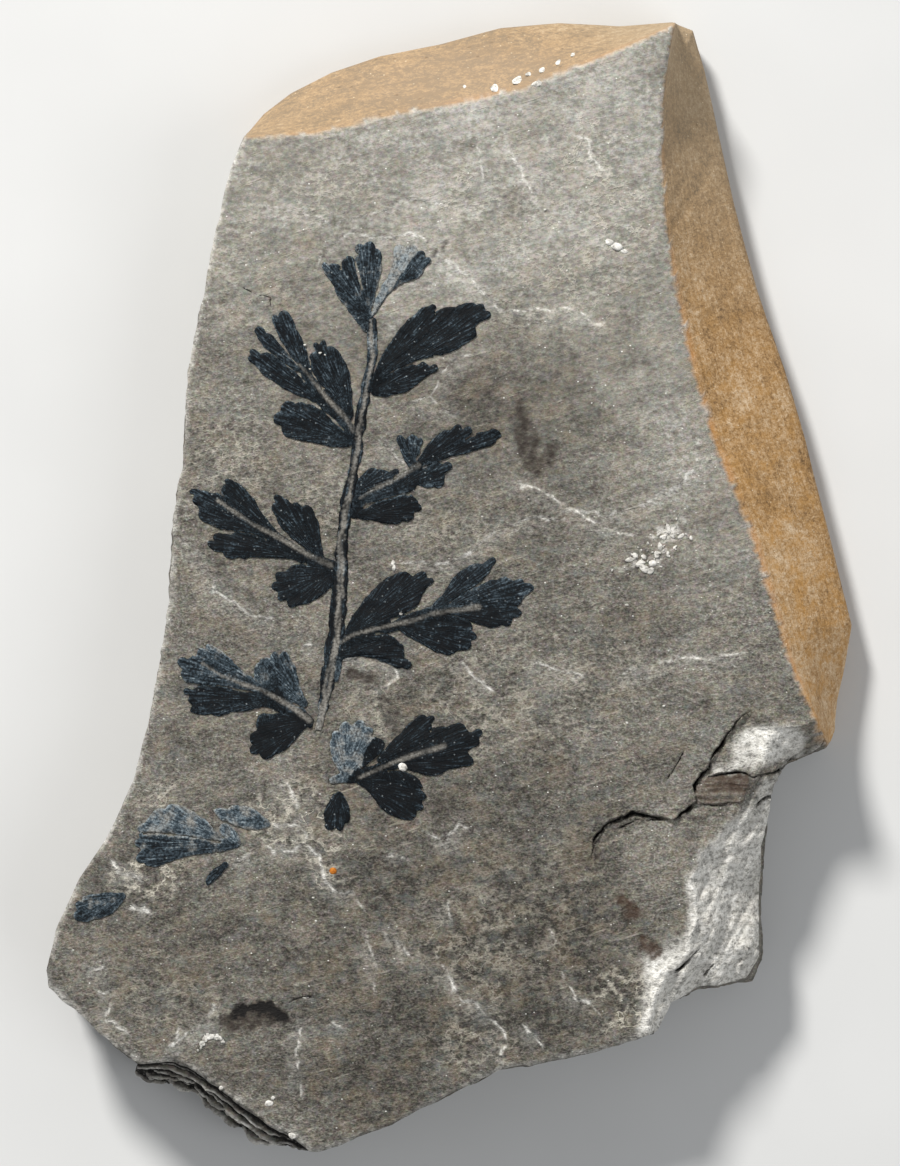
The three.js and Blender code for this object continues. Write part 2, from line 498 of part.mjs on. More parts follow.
function shalePlate() {
  const corners = [...LIP_OUTLINE, ...BELT_OUTLINE].map(bearing).sort((a, b) => a - b);
  const angles = corners.filter((angle, i) => i === 0 || angle - corners[i - 1] > 2e-3);
  const heights = [0, 1.5, BELT_HEIGHT, PLATE_THICKNESS];
  let plate = loft(heights.map((height) => plateRing(angles, height)));
  for (const { margin, bottom, top } of LOWER_SHEETS) {
    plate = plate.add(prism([...margin, ...SHEET_ROOT], bottom, top));
  }
  for (const { outline, floor } of [SPALL_BENCH, SPALL_SLOPE]) {
    plate = plate.subtract(prism(outline, floor, PLATE_THICKNESS + 3));
  }
  return plate;
}

// ---- the frond ------------------------------------------------------------------------

function film(outline) {
  const bottom = PLATE_THICKNESS + FILM_GAP;
  return prism(outline, bottom, bottom + FILM_THICKNESS);
}

function smoothLoop(points) {
  const knots = points.map(([x, y]) => new THREE.Vector3(x, y, 0));
  const curve = new THREE.CatmullRomCurve3(knots, true, 'catmullrom', 0.5);
  const steps = Math.round(curve.getLength() / OUTLINE_STEP);
  return curve.getSpacedPoints(steps).slice(0, -1).map(({ x, y }) => [x, y]);
}

// Outline of a tapering strip along the stem's centre line, widened by `margin` each side.
function stemOutline(margin) {
  const knots = STEM_LINE.map(([x, y]) => new THREE.Vector3(x, y, 0));
  const curve = new THREE.CatmullRomCurve3(knots);
  const steps = 34;
  const left = [];
  const right = [];
  for (let i = 0; i <= steps; i++) {
    const share = i / steps;
    const { x, y } = curve.getPointAt(share);
    const along = curve.getTangentAt(share);
    const half = THREE.MathUtils.lerp(STEM_WIDTH_TOP, STEM_WIDTH_FOOT, share) / 2 + margin;
    left.push([x - along.y * half, y + along.x * half]);
    right.unshift([x + along.y * half, y - along.x * half]);
  }
  return [...left, ...right];
}

function leafFilm(margins) {
  const leaflets = margins.map((points) => film(smoothLoop(points)));
  const whole = leaflets.reduce((sum, leaflet) => sum.add(leaflet));
  const cut = whole.subtract(prism(
    stemOutline(STEM_CLEARANCE), PLATE_THICKNESS - 1, PLATE_THICKNESS + 1,
  ));
  // Cutting against the stem can leave a crumb on its far side; the leaf is the largest body.
  return cut.decompose().sort((a, b) => b.volume() - a.volume())[0];
}

// ---- assembly -------------------------------------------------------------------------

const group = new THREE.Group();
group.name = 'fossil_fern_plate';

function addNode(name, solid, look) {
  const mesh = new THREE.Mesh(toGeometry(solid), new THREE.MeshStandardMaterial(look));
  mesh.name = name;
  group.add(mesh);
}

addNode('shale_plate', shalePlate(), SHALE);
addNode('main_stem', film(stemOutline(0)), CARBON);
for (const [name, margins] of Object.entries(LEAF_MARGINS)) {
  addNode(name, leafFilm(margins), CARBON);
}

export default group;
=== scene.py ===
import math

import bmesh
import bpy
import numpy as np
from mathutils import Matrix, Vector
from mathutils.geometry import delaunay_2d_cdt


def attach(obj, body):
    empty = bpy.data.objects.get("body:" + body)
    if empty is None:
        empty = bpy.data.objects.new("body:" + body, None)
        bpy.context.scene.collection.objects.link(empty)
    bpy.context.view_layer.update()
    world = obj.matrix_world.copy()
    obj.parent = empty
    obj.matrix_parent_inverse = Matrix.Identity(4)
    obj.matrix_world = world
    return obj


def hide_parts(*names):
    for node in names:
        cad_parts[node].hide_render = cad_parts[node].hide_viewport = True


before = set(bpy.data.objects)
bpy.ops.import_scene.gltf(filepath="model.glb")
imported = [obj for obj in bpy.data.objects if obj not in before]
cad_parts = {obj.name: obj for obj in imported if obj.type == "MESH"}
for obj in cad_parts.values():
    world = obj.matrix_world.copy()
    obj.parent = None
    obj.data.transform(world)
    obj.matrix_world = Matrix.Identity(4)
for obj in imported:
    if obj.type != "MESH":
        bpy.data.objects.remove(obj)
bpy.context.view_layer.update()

# ==========================================================================================
# The shale plate.  Fine-bedded grey-brown mudstone split along one bedding face.  Two smooth
# joint faces, stained orange by iron, slope off its top and right sides; the other sides are
# broken through the bedding, and a flake has spalled off the lower right corner.

MM = 0.001
PLATE_TOP = 14.0
BELT_HEIGHT = 4.5
FOOT_TUCK = 0.7
HEART = np.array([0.0, -1.4])

# The edge of the bedding face, clockwise from its top left corner.
LIP = np.array([
    [-20.4, 44.9], [-14.9, 45.2], [-9.9, 46.1], [-4.9, 47.4], [3.1, 48.8], [7.1, 49.8],
    [15.1, 53.0], [19.1, 54.6], [22.7, 56.4],
    [21.9, 52.6], [21.4, 47.6], [21.4, 42.6], [21.7, 37.6], [22.3, 32.6], [23.3, 27.6],
    [24.6, 21.6], [26.3, 15.6], [28.6, 9.6], [30.8, 4.1], [32.6, -2.4], [34.6, -8.4],
    [36.6, -12.9], [38.1, -15.9],
    [35.9, -17.1], [34.1, -17.6], [32.9, -19.2], [32.3, -21.4], [31.6, -26.0],
    [31.3, -32.0], [31.4, -37.5], [30.2, -39.8], [25.1, -40.3], [22.3, -41.8],
    [20.9, -44.6], [17.1, -46.0], [11.1, -47.3], [5.6, -48.3], [1.1, -50.5],
    [-4.9, -53.3], [-10.9, -56.0], [-13.1, -56.6],
    [-13.9, -56.6], [-15.4, -55.6], [-17.4, -54.3], [-19.5, -52.9], [-21.5, -51.5],
    [-23.5, -49.9], [-25.0, -49.0], [-26.2, -48.2], [-27.6, -47.7], [-29.3, -47.7],
    [-31.2, -47.9],
    [-34.9, -44.9], [-37.4, -42.4], [-40.1, -40.1], [-40.4, -38.6], [-39.2, -33.9],
    [-37.1, -29.4], [-34.4, -25.4], [-32.9, -22.4], [-31.4, -18.9], [-29.9, -12.9],
    [-28.9, -7.4], [-28.1, -2.4], [-27.7, 2.6], [-27.4, 8.6], [-26.6, 12.6],
    [-26.1, 21.6], [-25.4, 25.6], [-24.1, 31.6], [-22.7, 38.6], [-21.7, 42.1],
])
TOP_LEFT_CORNER, RIGHT_CORNER = 0, 22      # places in LIP between which the joint faces lie
# The plate's widest outline, at the height of the belt.
BELT = np.array([
    [-20.6, 46.1], [-18.9, 48.1], [-16.1, 50.2], [-12.0, 52.3], [-7.0, 54.0], [-0.9, 55.2],
    [5.2, 56.9], [11.2, 57.4], [17.3, 57.1], [22.8, 57.5], [24.9, 56.7],
    [26.1, 52.6], [27.4, 46.5], [29.1, 38.8], [31.4, 30.2], [34.2, 22.0], [36.3, 14.9],
    [38.1, 7.7], [39.8, 1.1], [41.1, -4.0], [40.4, -8.1], [39.6, -11.6], [39.3, -14.8],
    [38.6, -16.6],
    [36.2, -17.6], [34.2, -18.2], [33.0, -19.8], [32.4, -22.0], [31.9, -26.0],
    [31.7, -32.0], [31.9, -37.6], [30.8, -40.2], [27.4, -40.6], [25.1, -40.9],
    [22.3, -42.2], [20.7, -45.1], [16.8, -46.4], [10.8, -47.5], [5.3, -48.6],
    [0.9, -50.9], [-5.1, -53.7], [-11.1, -56.4], [-13.1, -56.7],
    [-14.7, -55.2], [-17.1, -53.6], [-19.1, -52.2], [-21.1, -50.8], [-23.2, -49.3],
    [-24.8, -48.3], [-26.2, -47.6], [-27.6, -47.1], [-29.3, -47.1], [-30.7, -47.3],
    [-34.4, -44.6], [-37.0, -42.0], [-39.6, -39.9], [-39.8, -38.5], [-38.6, -33.6],
    [-36.5, -29.2], [-33.9, -25.3], [-32.3, -22.2], [-30.9, -18.8], [-29.4, -12.8],
    [-28.4, -7.4], [-27.6, -2.4], [-27.2, 2.6], [-26.9, 8.6], [-26.1, 12.6],
    [-25.6, 21.6], [-24.9, 25.6], [-23.6, 31.6], [-22.3, 38.6], [-21.2, 42.1],
])
# The split sheets under the lip at the lower left reach out to this line.
SHEET_REACH = np.array([
    [-31.2, -47.9], [-32.1, -48.9], [-31.4, -49.7], [-30.2, -50.3], [-27.7, -50.8],
    [-25.6, -51.6], [-24.0, -52.7], [-22.4, -53.9], [-21.2, -55.1], [-19.2, -56.4],
    [-17.3, -56.9], [-14.7, -56.9], [-13.1, -56.7],
])


def noise(points, cell, seed, octaves=3):
    """Smooth lattice noise from -1 to 1.  Cell is the size of a lump in mm, by axis if listed."""
    total, reach = 0.0, 0.0
    for octave in range(octaves):
        q = points / np.asarray(cell, float) * 2 ** octave + seed * 13.7 + octave * 5.3
        corner = np.floor(q).astype(np.int64)
        f = q - corner
        f = f * f * (3 - 2 * f)
        value = 0.0
        for step in np.ndindex(*(2,) * points.shape[1]):
            weight = np.prod(np.where(step, f, 1 - f), axis=1)
            mixed = np.zeros(len(points), np.int64)
            for axis, prime in zip(range(points.shape[1]), (374761393, 668265263, 2246822519)):
                mixed += (corner[:, axis] + step[axis]) * prime
            mixed = (mixed ^ (mixed >> 13)) * 1274126177 & 0xFFFFFFFF
            value = value + weight * (((mixed ^ (mixed >> 16)) & 0xFFFF) / 32767.5 - 1)
        total = total + value * 0.5 ** octave
        reach += 0.5 ** octave
    return total / reach * 1.6


def smooth(low, high, value):
    """A soft step from 0 at low to 1 at high."""
    t = np.clip((value - low) / (high - low), 0, 1)
    return t * t * (3 - 2 * t)


def dense(line, step, closed=False):
    """Points every `step` mm along a line of straight stretches."""
    line = np.asarray(line, float)
    if closed:
        line = np.vstack([line, line[:1]])
    length = np.r_[0, np.cumsum(np.linalg.norm(np.diff(line, axis=0), axis=1))]
    at = np.linspace(0, length[-1], max(2, round(length[-1] / step) + 1))
    if closed:
        at = at[:-1]
    return np.stack([np.interp(at, length, line[:, 0]), np.interp(at, length, line[:, 1])], 1)


def from_line(points, line):
    """Distance of each point from a line, negative on its right, and the share of it passed."""
    line = np.asarray(line, float)
    a, b = line[:-1], line[1:]
    along = b - a
    size = np.linalg.norm(along, axis=1)
    start = np.r_[0, np.cumsum(size)[:-1]]
    gap = np.full(len(points), 1e9)
    side = np.ones(len(points))
    share = np.zeros(len(points))
    for p, d, n, s in zip(a, along, size, start):
        w = points - p
        t = np.clip(w @ d / n ** 2, 0, 1)
        away = np.linalg.norm(w - t[:, None] * d, axis=1)
        near = away < gap
        gap = np.where(near, away, gap)
        side = np.where(near, np.sign(d[0] * w[:, 1] - d[1] * w[:, 0] + 1e-12), side)
        share = np.where(near, (s + t * n) / size.sum(), share)
    return gap * side, share


def inside(points, loop):
    """Whether each point lies inside a closed loop."""
    x, y = points[:, :1], points[:, 1:]
    ax, ay = loop[:, 0], loop[:, 1]
    bx, by = np.roll(ax, -1), np.roll(ay, -1)
    crosses = (ay > y) != (by > y)
    rise = np.where(by == ay, 1e-12, by - ay)
    return (crosses & (x < (bx - ax) * (y - ay) / rise + ax)).sum(1) % 2 == 1


def depth_in(points, loop):
    """How deep each point lies inside a closed loop; negative outside it."""
    gap, _ = from_line(points, np.vstack([loop, loop[:1]]))
    return np.where(inside(points, loop), np.abs(gap), -np.abs(gap))


def from_heart(points):
    """The bearing of each point from the plate's heart, and how far out it lies."""
    arm = points[:, :2] - HEART
    return np.arctan2(arm[:, 1], arm[:, 0]), np.linalg.norm(arm, axis=1)


def reach_of(outline, at, closed=True):
    """How far out the outline lies along each bearing; 0 past the ends of an open one."""
    angle, far = from_heart(dense(outline, 0.1, closed))
    order = np.argsort(angle)
    if closed:
        return np.interp(at, angle[order], far[order], period=2 * math.pi)
    return np.interp(at, angle[order], far[order], left=0, right=0)


# ---- The bedding face: what has stepped, cracked, spalled, stained or lain on it.

# Thin steps where one lamina ends against the next: line, height, and the width of the pale edge,
# partly pale rock and partly painted highlight.
LAMINA_STEPS = [
    ([[-5.9, 2.3], [0.2, 2.2], [1.3, 2.9], [3.0, 4.1], [5.2, 5.9], [8.0, 6.7], [11.8, 6.8]],
     0.14, 0.22),
    ([[5.1, 11.1], [8.4, 10.0], [11.5, 8.1], [13.8, 6.7], [16.1, 5.6], [18.5, 5.2]], -0.16, 0.20),
    ([[12.9, 7.4], [15.1, 7.2], [18.9, 7.9], [23.5, 10.4], [24.6, 12.2], [25.0, 14.9]],
     0.10, 0.20),
    ([[0.9, -7.1], [3.0, -9.5], [4.6, -10.7]], 0.10, 0.22),
    ([[7.6, -7.4], [12.2, -8.6], [13.9, -9.1]], 0.08, 0.16),
    ([[16.4, -9.2], [18.0, -8.5], [20.7, -8.2]], 0.08, 0.16),
    ([[-17.9, -20.4], [-16.4, -19.7], [-14.9, -22.4], [-14.4, -24.9], [-14.6, -25.9],
      [-12.9, -26.9], [-12.4, -29.4], [-11.6, -30.4], [-9.7, -30.7], [-8.4, -32.6]], 0.16, 0.28),
    ([[-8.3, -35.2], [-7.8, -36.6], [-7.3, -37.7], [-7.6, -39.4], [-7.3, -40.6]], 0.10, 0.20),
    ([[-6.5, -34.9], [-5.0, -35.9], [-3.6, -37.0]], 0.12, 0.30),
    ([[-0.2, -31.6], [0.2, -33.9]], 0.08, 0.16),
    ([[-1.1, -36.9], [-0.2, -38.5], [0.4, -40.0], [1.4, -41.4], [2.5, -41.6], [3.8, -43.1],
      [5.4, -44.4], [5.8, -45.6], [5.0, -47.3], [5.4, -48.2]], 0.16, 0.24),
    ([[-13.8, -42.9], [-14.9, -44.4], [-15.2, -46.6], [-14.9, -48.8], [-14.8, -51.5]], 0.08, 0.22),
    ([[7.1, -43.6], [9.6, -46.3]], 0.08, 0.18),
    ([[11.3, -38.7], [12.8, -41.3], [14.4, -41.7], [15.1, -42.9]], 0.08, 0.18),
    ([[10.0, -34.5], [11.0, -36.0]], 0.06, 0.14),
    ([[-14.9, -6.4], [-13.7, -5.7]], 0.06, 0.20),
    ([[-18.4, -25.9], [-17.4, -26.4], [-15.4, -26.4], [-14.4, -25.9]], 0.10, 0.26),
    ([[-17.9, -23.7], [-15.9, -23.9], [-14.5, -23.6]], 0.08, 0.30),
    ([[-21.7, -27.9], [-19.9, -26.9]], 0.06, 0.22),
    ([[-33.9, -27.4], [-32.4, -28.7], [-30.9, -29.7]], 0.08, 0.40),
    ([[-31.9, -32.2], [-29.9, -32.7]], 0.06, 0.35),
    ([[-1.9, -24.9], [-0.4, -25.7], [1.1, -23.7], [2.4, -24.4]], 0.10, 0.24),
    ([[-6.4, -26.9], [-5.2, -26.4], [-4.4, -27.4]], 0.06, 0.18),
    ([[-28.8, -47.4], [-27.2, -45.6], [-23.9, -43.3], [-23.5, -41.3]], 0.08, 0.22),
    ([[-27.6, -45.6], [-26.9, -44.1]], 0.06, 0.22),
    ([[-36.8, -39.0], [-34.1, -38.0]], 0.06, 0.24),
    ([[-35.2, -40.3], [-34.4, -40.7], [-33.5, -40.1]], 0.08, 0.22),
    ([[-34.1, -41.9], [-34.4, -43.3], [-32.9, -44.1], [-31.9, -45.2]], 0.08, 0.24),
    ([[-11.7, -43.3], [-10.1, -44.8]], 0.06, 0.18),
    ([[-12.4, -9.2], [-11.2, -7.4], [-8.6, -6.8], [-5.8, -7.6], [-5.2, -9.3], [-6.8, -10.3]],
     0.16, 0.26),
    ([[-3.6, 18.5], [-1.9, 18.9], [-1.1, 18.1], [0.3, 17.3], [1.0, 16.5]], 0.10, 0.18),
    ([[-1.9, 18.9], [-1.1, 20.1], [-0.9, 21.4], [1.4, 23.0], [3.4, 23.2]], 0.06, 0.14),
    ([[-6.5, 26.5], [-2.2, 24.0], [1.2, 23.2]], 0.06, 0.14),
    ([[-7.3, 14.8], [-5.6, 13.6], [-4.4, 11.9]], 0.08, 0.16),
    ([[-27.4, 5.0], [-25.2, 3.4], [-23.4, -0.5], [-20.2, -2.6], [-16.4, -3.8]], 0.10, 0.16),
    ([[17.5, -8.4], [20.7, -8.0], [23.5, -7.2], [27.0, -6.9], [30.3, -6.4]], -0.12, 0.16),
    ([[-19.5, 38.5], [-11.0, 36.2], [-4.0, 38.8], [4.5, 37.6]], 0.10, 0.12),
    ([[5.1, 27.9], [7.2, 27.4], [12.4, 27.9], [16.0, 25.4]], -0.10, 0.14),
    ([[-1.1, 33.1], [1.2, 31.6], [3.0, 29.9], [5.1, 27.7]], 0.10, 0.26),
    ([[-13.4, 31.6], [-12.4, 33.6], [-10.0, 35.3], [-6.3, 34.8], [-3.9, 35.2], [-1.6, 34.2]],
     0.06, 0.20),
    ([[5.5, 45.4], [6.4, 43.0], [7.8, 40.3], [9.0, 37.8], [9.8, 36.4]], 0.08, 0.18),
    ([[2.7, 44.4], [3.3, 41.5], [3.6, 39.2]], 0.06, 0.16),
    ([[12.6, 45.2], [14.0, 44.4], [14.2, 42.8], [15.6, 41.6]], 0.06, 0.22),
]
LAMINA_REACH = 16       # no step shows further than this from the middle of its line
# Open cracks in the bedding face: line, depth, and half width.
CRACKS = [
    ([[29.9, -12.6], [28.4, -14.2], [27.1, -16.1], [26.3, -17.5], [25.4, -18.8], [24.5, -20.0],
      [24.7, -21.5], [23.8, -22.6], [22.4, -23.4], [20.7, -23.2], [18.4, -22.7], [15.6, -24.0],
      [14.5, -25.6], [14.4, -27.3]], 1.3, 0.24),
    ([[16.4, -24.5], [18.6, -23.6], [22.1, -23.4]], 0.35, 0.12),
    ([[21.9, -19.4], [22.5, -18.2], [23.6, -16.5]], 0.4, 0.14),
    ([[26.0, -19.1], [27.7, -18.8], [29.7, -18.6], [30.6, -19.2], [32.8, -18.6], [33.9, -18.1],
      [34.9, -17.1]], 1.0, 0.26),
    ([[24.9, -21.7], [27.3, -21.9], [29.0, -21.7]], 0.5, 0.18),
    ([[30.8, -22.1], [31.4, -21.5], [32.7, -20.8], [33.4, -19.5]], 1.6, 0.35),
    ([[22.6, -38.8], [24.2, -37.3], [25.1, -36.4]], 0.8, 0.22),
    ([[25.5, -39.2], [26.8, -38.2]], 0.6, 0.16),
    ([[-21.0, 30.1], [-19.4, 29.3], [-17.9, 28.8], [-17.7, 27.7]], 0.15, 0.09),
    ([[-16.6, -41.8], [-15.4, -41.4], [-13.8, -41.2], [-11.6, -41.1]], 0.25, 0.18),
    ([[-30.8, -48.2], [-29.4, -47.9], [-27.6, -47.9]], 0.5, 0.10),
]
SPALL_BENCH = np.array([
    [29.9, -12.6], [28.4, -14.2], [27.1, -16.1], [25.4, -18.8], [24.5, -20.0],
    [24.7, -21.5], [23.8, -22.6], [22.4, -23.4], [20.7, -23.2], [18.4, -22.7],
    [15.6, -24.0], [14.5, -25.6], [14.4, -28.8], [15.4, -30.8], [18.4, -31.7],
    [19.4, -34.0], [21.2, -35.6], [20.8, -38.0], [21.5, -43.0], [24.0, -48.0],
    [45.0, -48.0], [45.0, -12.0], [37.0, -13.5], [34.9, -14.2], [31.2, -14.2],
])
SPALL_RIM = 20          # the first points of the bench follow its broken edge
SPALL_RIDGE = [[36.5, -13.4], [34.2, -14.3], [32.3, -16.2], [31.0, -18.6], [29.7, -20.8],
               [28.6, -23.4], [27.3, -25.4], [25.5, -27.3], [24.5, -29.9], [24.6, -33.2],
               [24.3, -34.6], [23.4, -36.8], [21.8, -38.8], [20.6, -41.2], [20.0, -45.0]]
SPALL_VALLEY = [[21.6, -20.4], [23.5, -17.3], [25.8, -14.6]]
SPALL_FALL = 0.8
# Chalky fresh rock inside the spall, and the brown laminated lens that stands out of it.
CHALK = [
    [[27.9, -18.4], [28.5, -15.9], [30.1, -14.5], [32.6, -14.0], [35.1, -14.0], [36.4, -14.9],
     [35.1, -16.5], [32.6, -17.8], [30.8, -18.5], [28.6, -18.8], [26.0, -19.2], [26.6, -17.4]],
    [[30.0, -21.4], [28.4, -23.4], [27.0, -25.3], [25.2, -27.2], [23.6, -29.4], [23.6, -31.9],
     [23.2, -34.4], [21.6, -36.0], [19.6, -37.6], [19.0, -41.4], [18.6, -45.5], [21.9, -45.0],
     [25.0, -41.4], [32.5, -41.0], [32.8, -29.4], [33.2, -24.4], [34.2, -19.5], [31.6, -19.2]],
]
CHALK_BRIGHTNESS = (0.90, 0.84)
BROWN_LENS = np.array([[24.6, -19.9], [26.0, -19.2], [27.7, -18.9], [30.0, -18.9], [30.2, -20.2],
                       [29.4, -21.7], [27.3, -22.0], [24.9, -21.8]])
DENT_CREST = np.array([[-23.2, -43.5], [-22.4, -42.9], [-21.5, -42.3], [-20.3, -41.8],
                       [-18.4, -41.7], [-16.8, -42.1], [-16.3, -42.8]])
DENT_FOOT = np.array([[-16.3, -43.5], [-18.4, -44.1], [-20.3, -44.3], [-21.7, -44.7],
                      [-22.9, -44.3]])
DENT_DEPTH = 0.16
# Brown and sooty smudges, the ghosts of plant scraps: middle, half sizes, turn, strength.
SMUDGES = [
    (-9.5, -8.9, 0.9, 0.7, 0.2, .95), (-7.9, -9.3, 0.9, 0.6, -.2, .9),
    (-6.2, -12.2, 0.7, 1.2, 0.5, .6), (-5.4, -13.5, 1.0, 1.2, 0.6, .55),
    (-0.6, -21.9, 1.0, 1.8, -0.3, .4), (25.9, -11.2, 0.45, 1.6, -0.15, .45),
    (6.6, 38.0, 1.3, 1.5, 0.0, .3), (-22.6, -29.6, 0.9, 0.7, 0.3, .4),
    (18.1, -32.4, 0.70, 1.75, 0.83, .95), (14.7, -26.6, 0.22, 1.5, 0.1, .55),
    (20.4, -36.5, 0.9, 0.8, 0.5, .85), (19.6, -35.6, 0.5, 0.8, 0.2, .7),
    (-20.5, -0.6, 2.4, 0.45, -0.6, .3), (-23.2, 2.4, 0.9, 0.4, -0.4, .4),
    (-17.3, -3.0, 1.2, 0.3, -1.0, .3), (-0.8, 33.8, 1.1, 0.14, 0.8, .9),
    (-8.9, 0.2, 0.18, 1.6, -0.25, .5), (1.6, 20.0, 3.5, 3.0, 0.0, .18),
]
PRESSED = 0.5           # smudges stronger than this are pressed into the rock
# The faint print of one more leaf, its film all but gone.
GHOST_LEAF = np.array([
    [6.9, 18.9], [7.6, 17.8], [8.3, 16.8], [9.1, 15.4], [9.0, 14.0], [8.7, 12.9], [9.5, 13.4],
    [10.3, 14.5], [11.1, 14.4], [10.9, 12.9], [10.3, 11.5], [9.0, 10.9], [7.8, 11.2],
    [7.1, 12.4], [6.6, 14.0], [6.4, 16.4]])
# White mineral chips on the face: middle, half sizes, turn.
CHIPS = [
    (16.1, 34.4, .50, .36, -.3), (16.8, 34.0, .58, .44, -.5), (17.5, 33.5, .36, .24, -.4),
    (-5.6, 2.3, .22, .30, .1), (-5.5, 1.8, .20, .34, -.2), (9.6, 37.6, .16, .12, 0),
    (1.7, 50.2, .32, .22, .3), (4.7, 49.9, .60, .46, .3), (7.1, 50.9, .80, .42, .5),
    (8.1, 51.4, .44, .28, .5), (9.5, 51.8, .62, .36, .5), (8.8, 50.2, .60, .38, .4),
    (11.1, 52.6, .48, .26, .6), (12.6, 53.5, .44, .22, .5), (-14.4, 24.1, .15, .11, 0),
    (-12.9, 23.3, .17, .11, .2), (-12.4, 23.1, .12, .09, 0), (-13.9, 21.7, .12, .10, 0),
    (-4.6, -18.1, .46, .40, 0), (-4.8, -2.8, .18, .15, 0), (-4.4, -4.2, .22, .18, .4),
    (-18.0, -51.7, .42, .30, .2),
    (-17.6, -51.2, .20, .16, .2), (-22.8, -50.2, .26, .20, 0), (-15.7, -55.0, .42, .30, -.4),
    (-28.5, -45.4, .12, .10, 0), (-14.4, -41.2, .40, .10, .1), (-13.3, -33.5, .12, .10, 0),
    (3.1, -14.9, .14, .10, 0), (21.5, -12.0, .16, .10, 0), (17.8, -1.9, .18, .1, 0),
    (-20.4, 9.0, .12, .08, 0), (2.4, 44.0, .12, .08, 0), (-13.6, -31.2, .14, .10, 0),
    (17.8, -13.7, .14, .12, 0), (26.3, -27.0, .14, .10, 0), (-9.0, 33.9, .10, .07, 0),
    (18.0, 2.6, .42, .24, .3), (18.6, 3.0, .24, .34, .9), (19.1, 2.2, .50, .30, .5),
    (19.6, 1.7, .55, .36, -.3), (20.2, 1.5, .40, .30, .8), (20.4, 2.3, .45, .32, .2),
    (19.5, 2.9, .34, .24, -.6), (20.8, 3.1, .30, .42, .4), (21.1, 4.0, .24, .38, .1),
    (21.5, 4.9, .36, .26, .6), (21.9, 5.6, .30, .50, .2), (22.3, 5.1, .40, .22, -.5),
    (23.2, 5.0, .38, .20, .6), (24.2, 4.8, .20, .30, .3), (22.6, 3.9, .26, .16, .8),
    (21.9, 3.2, .20, .26, .2),
]
ON_FILM = (14, 15, 16, 17, 18, 19)     # places in CHIPS of those that lie on the black film
FLECK_CLUSTER = [[17.7, 2.6], [19.0, 3.2], [20.2, 2.6], [21.2, 5.0], [22.5, 6.1]]
CRESCENT = [[-24.9, -46.2], [-24.6, -45.5], [-24.1, -45.1], [-23.3, -45.0], [-22.7, -45.4],
            [-22.6, -45.8]]
ORANGE_SPECK = (-11.6, -28.5, .34, .34, 0)
# Where the face is crazed with thin pale veins: middle, half sizes, strength.
CRAZED = [
    (-30.5, -28.5, 4.5, 3.0, 1.0), (-16.0, -23.0, 5.0, 3.5, .8), (-12.5, -27.5, 3.0, 3.5, .8),
    (-22.5, 12.0, 5.0, 6.0, .45), (-28.5, -21.5, 3.0, 2.5, .6), (-8.0, -12.5, 3.5, 3.0, .5),
    (18.0, -41.0, 3.5, 5.0, .9), (2.0, -36.0, 7.0, 6.0, .35), (5.0, -13.5, 12.0, 3.5, .4),
    (12.0, -8.0, 12.0, 4.0, .3), (-20.0, 30.0, 4.0, 8.0, .15), (12.0, 34.0, 10.0, 10.0, .3),
    (14.5, 43.0, 4.0, 4.5, .55), (17.0, 37.5, 3.0, 3.5, .6), (13.0, 31.0, 4.0, 3.0, .55),
    (2.0, 39.5, 4.0, 3.5, .45), (-13.0, 40.0, 8.0, 3.0, .35), (-12.5, 8.5, 3.0, 4.0, .35),
    (1.0, 6.0, 6.0, 3.0, .35), (8.0, -33.0, 8.0, 10.0, .2), (-27.0, -42.0, 6.0, 4.0, .3),
    (2.0, -46.0, 5.0, 4.0, .4),
]
FACE_GRAIN = np.array([[0.955, -0.296], [0.296, 0.955]])
SPALL_GRAIN = np.array([[0.451, 0.892], [0.892, -0.451]])
PRINT_DEPTH = 0.09

leaf_loops = {}


def raise_to(rock, key, amount, where=slice(None)):
    """Puts a mark on the rock where it is stronger than the marks there already."""
    rock[key][where] = np.maximum(rock[key][where], amount)


def bedding_waves(points, rock):
    """Long waves and small ripples, on the right drawn out along the grain of the face."""
    rock["z"] += PLATE_TOP - 0.10 + 0.16 * noise(points, 22, 1, 2) + 0.05 * noise(points, 5, 2, 3)
    rock["z"] += 0.045 * noise(points, [1.9, 1.0], 3, 3)
    rock["z"] += 0.05 * noise(points @ FACE_GRAIN, [7.0, 1.1], 45, 3) * smooth(-8, 6, points[:, 0])


def lamina_steps(points, rock):
    """Each step lifts the rock on its left, dies out on both sides and has a pale edge, partly
    pale rock and partly painted highlight.
    """
    for line, height, width in LAMINA_STEPS:
        close = np.abs(points - np.mean(line, 0)).max(1) < LAMINA_REACH
        gap, share = from_line(points[close], line)
        gap = gap + 0.24 * noise(points[close], 0.9, 4, 3)
        ends = smooth(0, 0.15, share) * smooth(1, 0.85, share)
        rise = smooth(-0.14, 0.14, gap) - 0.5
        rock["z"][close] += 1.5 * height * rise * np.exp(-np.abs(gap) / 2.2) * ends
        # The pale edge is partly pale rock, partly a painted highlight where the step catches
        # light.
        edge = (0.45 + 2.0 * width) * np.exp(-(gap / (0.5 * width)) ** 2) * (0.35 + 0.65 * ends)
        edge *= smooth(-0.9, 0.5, noise(points[close], 0.7, 5, 2))
        edge += 0.10 * np.exp(-((gap + 0.5) / 0.8) ** 2) * ends
        raise_to(rock, "pale", edge, close)


